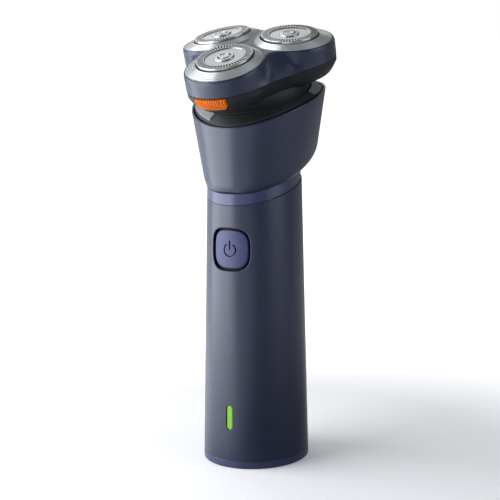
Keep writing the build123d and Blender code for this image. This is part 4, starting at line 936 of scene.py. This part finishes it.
def flat_top(across, back):
    """Level of the frame's top over a point of the head: three flats joined by soft ridges."""
    levels = []
    for flat in flats:
        middle, up = flat.translation / MM, flat.col[2]
        levels.append(middle.z - ((across - middle.x) * up.x + (back - middle.y) * up.y) / up.z)
    return -0.1 * math.log(sum(math.exp(-level / 0.1) for level in levels))


def on_frame(turn, level):
    """Point of the frame's outside wall at a level, on a curve through its three sections."""
    foot, middle, top = (lobe_reach(turn, *ring[1:]) for ring in FRAME_RINGS)
    span = FRAME_RINGS[2][0] - FRAME_RINGS[0][0]
    here, knee = (level - FRAME_RINGS[0][0]) / span, (FRAME_RINGS[1][0] - FRAME_RINGS[0][0]) / span
    out = (foot * (here - knee) * (here - 1) / knee + middle * here * (here - 1) / (knee * (knee - 1))
           + top * here * (here - knee) / (1 - knee))
    return out * math.cos(turn), out * math.sin(turn)


def frame_wall(level, inset=0.0):
    """Ring on the frame's outside wall at a level."""

    def place(turn):
        across, back = on_frame(turn, level)
        share = 1 - inset / math.hypot(across, back)
        return on_head(across * share, back * share, level)

    return place


def frame_rim(drop, inset):
    """Ring on the rounded rim, so far under the flats and so far in from the wall."""

    def place(turn):
        level = -3.0
        for _ in range(8):
            across, back = on_frame(turn, level)
            level = flat_top(across, back) - drop
        share = 1 - inset / math.hypot(across, back)
        return on_head(across * share, back * share, level)

    return place


def frame_top(share):
    """Ring on the flats, at a share of the way out from the middle."""

    def place(turn):
        across, back = on_frame(turn, -2.0)
        across, back = across * share, back * share
        return on_head(across, back, flat_top(across, back))

    return place


FRAME_WALL = 1.8
_, foot_reach, foot_lobe, foot_hollow = FRAME_RINGS[0]
inner_foot = (FRAME_FOOT, foot_reach, foot_lobe - FRAME_WALL, foot_hollow + FRAME_WALL)
rim_steps = [(RIM_ROUND * (1 - math.sin(math.radians(a))), RIM_LEAN * (1 - math.cos(math.radians(a))))
             for a in range(0, 90, 15)]
frame_shell = skin("head_housing", [
    hoop(head, 0.5, -7.5),
    lobed(-7.5, 17.6, 13.35, 18.0),
    lobed(*inner_foot),
    frame_wall(FRAME_FOOT, 0.1),
    frame_wall(FRAME_FOOT + 0.1),
    *[frame_wall(level) for level in (-9, -8, -7, -6.2)],
    *[frame_rim(drop, inset) for drop, inset in rim_steps],
    frame_rim(0.0, RIM_LEAN),
    *[frame_top(share) for share in (0.94, 0.88, 0.8, 0.7, 0.6, 0.5, 0.4, 0.3, 0.2, 0.1, 0.02)],
], LOBE_SIDES)
for plane in guard_planes:
    carve(frame_shell, rod("guard_hole", 12.2, -18, 12, plane, 144))
    carve(frame_shell, skin("ring_groove", [
        hoop(plane, RING_RADIUS + RING_PLAY, RING_FOOT, RING_SHIFT),
        hoop(plane, RING_RADIUS + RING_PLAY, 3, RING_SHIFT),
        hoop(plane, RING_INNER - RING_PLAY, 3, INNER_SHIFT),
        hoop(plane, RING_INNER - RING_PLAY, RING_FOOT, INNER_SHIFT),
    ], closed=True))
carve(frame_shell, rod("lock_bore", 1.35, -15, -3.9, head))
ledge = box("latch_ledge", (-3.5, -36, -10.0), (3.5, -30.6, -9.3), head)
carve(ledge, skin("ledge_room", [lobed(level, *FRAME_RINGS[0][1:], -0.4) for level in (-11, -8)], LOBE_SIDES),
      "INTERSECT")
carve(frame_shell, ledge, "UNION")
for start in (3.5, -7.5):
    carve(frame_shell, box("knuckle_root", (start, HINGE_ROOT, FRAME_FOOT),
                           (start + 4, HINGE_BACK, SEAM_LEVEL + KNUCKLE_RADIUS), head), "UNION")
    carve(frame_shell, rod("knuckle", KNUCKLE_RADIUS, start, start + 4, hinge), "UNION")
carve(frame_shell, rod("knuckle_bore", PIN_RADIUS + 0.05, -9, 9, hinge))
wear(frame_shell, navy_abs)
settle(frame_shell, "shaving_unit", "navy_plastic", "head_frame")

# ---------------------------------------------------------------- silver rings
# Three cones of ABS with a vacuum metallised satin face, pressed into the frame round the guards.
# Each one's hole is off its middle, and grooves run round its face, drawn coarse enough to show.
satin_silver = speckled("metallised_satin_silver", "b6bcbd", "c0c5c6", 250.0, 3.0, sheen=(0.34, 0.42),
                        Metallic=1.0)
RING_HOLE, RING_TOP, RING_UNDER = 11.05, -0.95, -2.2
GROOVES, GROOVE_DEPTH = 5, 0.2


def ring_cone(plane):
    """Rings down the cone's face, with a groove between each two bands."""
    made = []
    for step in range(4 * GROOVES + 1):
        share = 0.05 + 0.9 * step / (4 * GROOVES)
        sink = GROOVE_DEPTH if step % 4 == 2 else 0
        made.append(hoop(plane, RING_HOLE + (RING_RADIUS - RING_HOLE) * share,
                         RING_TOP + (FLAT_LEVEL - RING_TOP) * share - sink, RING_SHIFT * share))
    return made


for number, plane in enumerate(guard_planes, 1):
    silver = skin(f"silver_ring_{number}", [
        hoop(plane, RING_HOLE, RING_TOP - 0.12),
        hoop(plane, RING_HOLE + 0.08, RING_TOP - 0.04),
        *ring_cone(plane),
        hoop(plane, RING_RADIUS - 0.04, FLAT_LEVEL - 0.04, RING_SHIFT),
        hoop(plane, RING_RADIUS, FLAT_LEVEL - 0.14, RING_SHIFT),
        hoop(plane, RING_RADIUS, RING_FOOT, RING_SHIFT),
        hoop(plane, RING_INNER, RING_FOOT, INNER_SHIFT),
        hoop(plane, RING_INNER, RING_UNDER, INNER_SHIFT),
        hoop(plane, RING_HOLE, RING_UNDER),
    ], closed=True)
    wear(silver, satin_silver)
    settle(silver, "shaving_unit", "silver_ring", f"lobe_ring_{number}", angle=20)

# ---------------------------------------------------------------- guards
# Drawn stainless steel caps, 0.4 mm thick, polished. Slots let the hairs in, fifty-four wide ones here
# so that they show. The dish inside them carries the cap, and a flange keeps each guard in the frame.
polished_steel = speckled("polished_stainless_steel", "9c9ea0", "adafb1", 1500.0, 4.0, 0.0006,
                          sheen=(0.12, 0.24), Metallic=1.0)
GUARD_LINE = ((1.5, -0.4), (7.1, -0.4), (7.24, -0.35), (7.5, -0.08), (7.62, -0.01), (7.75, 0.0),
              (10.25, 0.0), (10.42, -0.04), (10.55, -0.14), (10.61, -0.3), (10.62, -0.45), (10.62, -2.4),
              (10.72, -2.5), (11.4, -2.5), (11.5, -2.6), (11.5, -3.0), (10.22, -3.0), (10.22, -0.38),
              (7.4, -0.38), (7.0, -0.78), (1.5, -0.78))
SLOTS, SLOT_WIDTH, SLOT_START, SLOT_END = 54, 0.55, 7.95, 10.1
guard = skin("guard", [hoop(Matrix(), radius, level) for radius, level in GUARD_LINE], 240, closed=True)
slots = [box("slot", (SLOT_START, -SLOT_WIDTH / 2, -0.6), (SLOT_END, SLOT_WIDTH / 2, 0.3),
             Matrix.Rotation(math.tau * number / SLOTS, 4, "Z")) for number in range(SLOTS)]
activate(slots[0])
for slot in slots:
    slot.select_set(True)
bpy.ops.object.join()
# The slots' walls are painted near black, a painted shade inside the slots.
slot_shade_steel = mottled("painted_shade_slot_steel", "0c0d0e", "161718", 0.4, 0.05, 0.004, Metallic=0.6, Roughness=0.6)
wear(slots[0], slot_shade_steel)
wear(guard, polished_steel)
carve(guard, slots[0])


def lay(pattern, name, plane):
    """A copy of a piece modelled about the upright axis, laid on a plane."""
    piece = pattern.copy()
    piece.data = pattern.data.copy()
    piece.name = piece.data.name = name
    bpy.context.collection.objects.link(piece)
    piece.data.transform(plane)
    return piece


for number, plane in enumerate(guard_planes, 1):
    settle(lay(guard, f"slotted_guard_{number}", plane), f"guard_{number}", "guard_steel",
           f"guard_{number}", angle=24)
bpy.data.objects.remove(guard)

# ---------------------------------------------------------------- guard caps
# Pressed steel disc in the middle of each guard, riveted through its hole. Four curved slots round
# the small raised ring have black walls, a painted shade inside them.
brushed_steel = speckled("brushed_stainless_steel", "b4b5b6", "c4c5c5", 2200.0, 3.0, 0.0008,
                         sheen=(0.2, 0.34), Metallic=1.0)
CAP_LINE = ((1.5, -1.2), (1.5, -0.4), (3.7, -0.4), (3.7, -0.2), (3.62, -0.05), (3.5, 0.04), (3.34, 0.09),
            (3.2, 0.1), (1.92, 0.1), (1.88, 0.12), (1.86, 0.2), (1.78, 0.25), (1.5, 0.25), (1.42, 0.2),
            (1.4, 0.1), (0.6, 0.1), (0.5, 0.08), (0.2, 0.06))
guard_cap = skin("guard_cap", [hoop(Matrix(), radius, level) for radius, level in CAP_LINE], 96)
wear(guard_cap, brushed_steel)
for quarter in range(4):
    slot = arc_block("cap_slot", 2.05, 2.6, 90 * quarter + 14, 90 * quarter + 76, -0.25, 0.5, 0, steps=12)
    slot.data.transform(Matrix.Rotation(-math.pi / 2, 4, "X"))
    wear(slot, black_rubber_and_shade)
    carve(guard_cap, slot)
for number, plane in enumerate(guard_planes, 1):
    settle(lay(guard_cap, f"domed_cap_{number}", plane), f"guard_{number}", "cap_steel",
           f"guard_cap_{number}", angle=40)
bpy.data.objects.remove(guard_cap)

# ---------------------------------------------------------------- charging inlet
# Socket of glass filled nylon in the foot of the handle, with two nickel plated brass pins. Zinc
# plated steel screws hold the cap over it.
black_nylon = mottled("glass_filled_black_nylon", "141416", "1d1d20", 3.0, 0.25, 0.02,
                      Roughness=0.55, IOR=1.53)
nickel_plate = mottled("nickel_plated_brass", "b4ad9e", "c6c0b2", 1.5, 0.1, 0.003,
                       Metallic=1.0, Roughness=0.24)
zinc_plate = mottled("zinc_plated_steel", "9a9da0", "b3b6ba", 0.8, 0.08, 0.006, Metallic=1.0, Roughness=0.32)
dress(black_nylon, "charging_inlet")
dress(nickel_plate, "inlet_pins")
dress(zinc_plate, "base_screws")

# ---------------------------------------------------------------- chassis
# Black ABS carrier that slides into the handle: two rails and three shelves that hold the cell and
# the circuit board. It is moulded off a plain tool, so it is duller than what shows outside.
black_abs = mottled("plain_moulded_black_abs", "17181a", "202124", 7.0, 0.3, 0.015, Roughness=0.48, IOR=1.5)
dress(black_abs, "chassis")

# ---------------------------------------------------------------- battery
# Steel can in heat shrunk green film. The film stops short of the top, where a white card ring
# shows, and nickel strips are spot welded to both ends.
cell_film, tree = new_material("heat_shrunk_pvc_film")
where = add_node(tree, "TexCoord")
ripple = add_node(tree, "TexNoise", {"Vector": where.outputs["Object"], "Scale": 350.0, "Detail": 2.0})
film = add_node(tree, "Mix", {"Factor": ripple.outputs[0], "A": linear("2c6b3f"), "B": linear("37804c")},
                data_type="RGBA")
height = add_node(tree, "SeparateXYZ", {0: where.outputs["Object"]})
card_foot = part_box("battery_cell")[1][2] - 1.2 * MM
card = add_node(tree, "Math", {0: height.outputs["Z"], 1: card_foot}, operation="GREATER_THAN")
colour = add_node(tree, "Mix", {"Factor": card.outputs[0], "A": film.outputs["Result"],
                                 "B": linear("d9d6cc")}, data_type="RGBA")
finish_with(tree, {"Base Color": colour.outputs["Result"]}, ripple.outputs[0], 0.03, Roughness=0.3, IOR=1.54)
dress(cell_film, "battery_cell")
dress(nickel_plate, "battery_contacts")

# ---------------------------------------------------------------- circuit board
# Glass epoxy board under green solder mask, with copper tracks that show through as paler lines. It
# carries the switch that the button presses and the white lamp behind the light pipe.
solder_mask, tree = new_material("green_solder_mask")
where = add_node(tree, "TexCoord")
cells = add_node(tree, "TexVoronoi", {"Vector": where.outputs["Object"], "Scale": 420.0, "Randomness": 0.35},
                 feature="DISTANCE_TO_EDGE")
tracks = add_node(tree, "MapRange", {"Value": cells.outputs["Distance"], "From Min": 0.05, "From Max": 0.09,
                                     "To Min": 1.0, "To Max": 0.0})
colour = add_node(tree, "Mix", {"Factor": tracks.outputs[0], "A": linear("0f4a2c"), "B": linear("2a7a4a")},
                  data_type="RGBA")
finish_with(tree, {"Base Color": colour.outputs["Result"]}, tracks.outputs[0], 0.035,
            Roughness=0.28, IOR=1.55)
lamp_epoxy = mottled("clear_lamp_epoxy", "dfe3da", "eef0e8", 1.5, 0.3, 0.004, Roughness=0.18, IOR=1.54)
dress(solder_mask, "circuit_board")
dress(black_nylon, "push_switch")
dress(lamp_epoxy, "indicator_lamp")
dress(zinc_plate, "board_screws")

# ---------------------------------------------------------------- motor
# Drawn and zinc plated can with two ferrite magnets inside, closed by a nylon end cap. The rotor is
# a stack of steel sheets 0.5 mm thick on a ground shaft, with a brass pinion pressed on its end.
ferrite = mottled("sintered_ferrite", "2b2c2e", "3a3b3d", 0.6, 0.12, 0.02, Roughness=0.62, IOR=2.0)
sheet_stack, tree = new_material("stacked_steel_sheets")
where = add_node(tree, "TexCoord")
SHEET_THICKNESS = 0.5
upright = add_node(tree, "Mapping", {"Vector": where.outputs["Object"],
                                     "Rotation": (-math.radians(HEAD_TILT), 0, 0)})
sheets = add_node(tree, "TexWave", {"Vector": upright.outputs[0],
                                    "Scale": math.tau / (20 * SHEET_THICKNESS * MM)},
                  wave_type="BANDS", bands_direction="Z")
colour = add_node(tree, "Mix", {"Factor": sheets.outputs["Fac"], "A": linear("55575a"),
                                 "B": linear("85888c")}, data_type="RGBA")
finish_with(tree, {"Base Color": colour.outputs["Result"]}, sheets.outputs["Fac"], 0.03,
            Metallic=1.0, Roughness=0.38)
brass = mottled("hobbed_brass", "b08d44", "c6a256", 0.7, 0.08, 0.006, Metallic=1.0, Roughness=0.26)
dress(zinc_plate, "motor_can", "motor_plate", "motor_screws", "neck_screws")
dress(black_nylon, "motor_end_cap")
dress(ferrite, "motor_magnets")
dress(sheet_stack, "motor_rotor")
dress(brass, "drive_pinion")

# ---------------------------------------------------------------- drive
# Three acetal gears turn on posts of the tray. In each one a square ball on a sprung stem slides up
# to carry its cutter, and a nylon cover with a hole for each gear's hub closes the tray.
ivory_acetal = mottled("natural_acetal", "dcd8cb", "e8e5da", 5.0, 0.3, 0.006, Roughness=0.36, IOR=1.48,
                       Subsurface_Weight=0.2, Subsurface_Scale=0.001)
grey_acetal = mottled("grey_acetal", "7d8288", "8b9096", 4.0, 0.3, 0.006, Roughness=0.38, IOR=1.48)
spring_wire = mottled("drawn_spring_wire", "a5a8ab", "bfc2c5", 0.5, 0.05, 0.004, Metallic=1.0, Roughness=0.25)
dress(ivory_acetal, "drive_gear_1", "drive_gear_2", "drive_gear_3")
dress(grey_acetal, "drive_spindle_1", "drive_spindle_2", "drive_spindle_3")
dress(spring_wire, "spindle_spring_1", "spindle_spring_2", "spindle_spring_3", "release_spring")
dress(black_nylon, "gear_cover")
dress(zinc_plate, "cover_screws", "hinge_pin")

# ---------------------------------------------------------------- cutters
# Hardened steel cutters, their blades ground sharp under the slots. A nylon frame carries the guards
# from below, and a quarter turn of its lock lets it out for cleaning.
# The cutters' steel is a darker grey than the guards': ground steel, and painted shade under the slots.
shaded_ground_steel = mottled("shaded_ground_cutter_steel", "5d6063", "75787b", 0.5, 0.05, 0.008,
                       Metallic=1.0, Roughness=0.3)
grey_nylon = mottled("grey_nylon", "5d6166", "6a6e73", 4.0, 0.3, 0.01, Roughness=0.5, IOR=1.53)
dress(shaded_ground_steel, "cutter_1", "cutter_2", "cutter_3")
dress(black_nylon, "retaining_frame")
dress(grey_nylon, "retaining_lock")
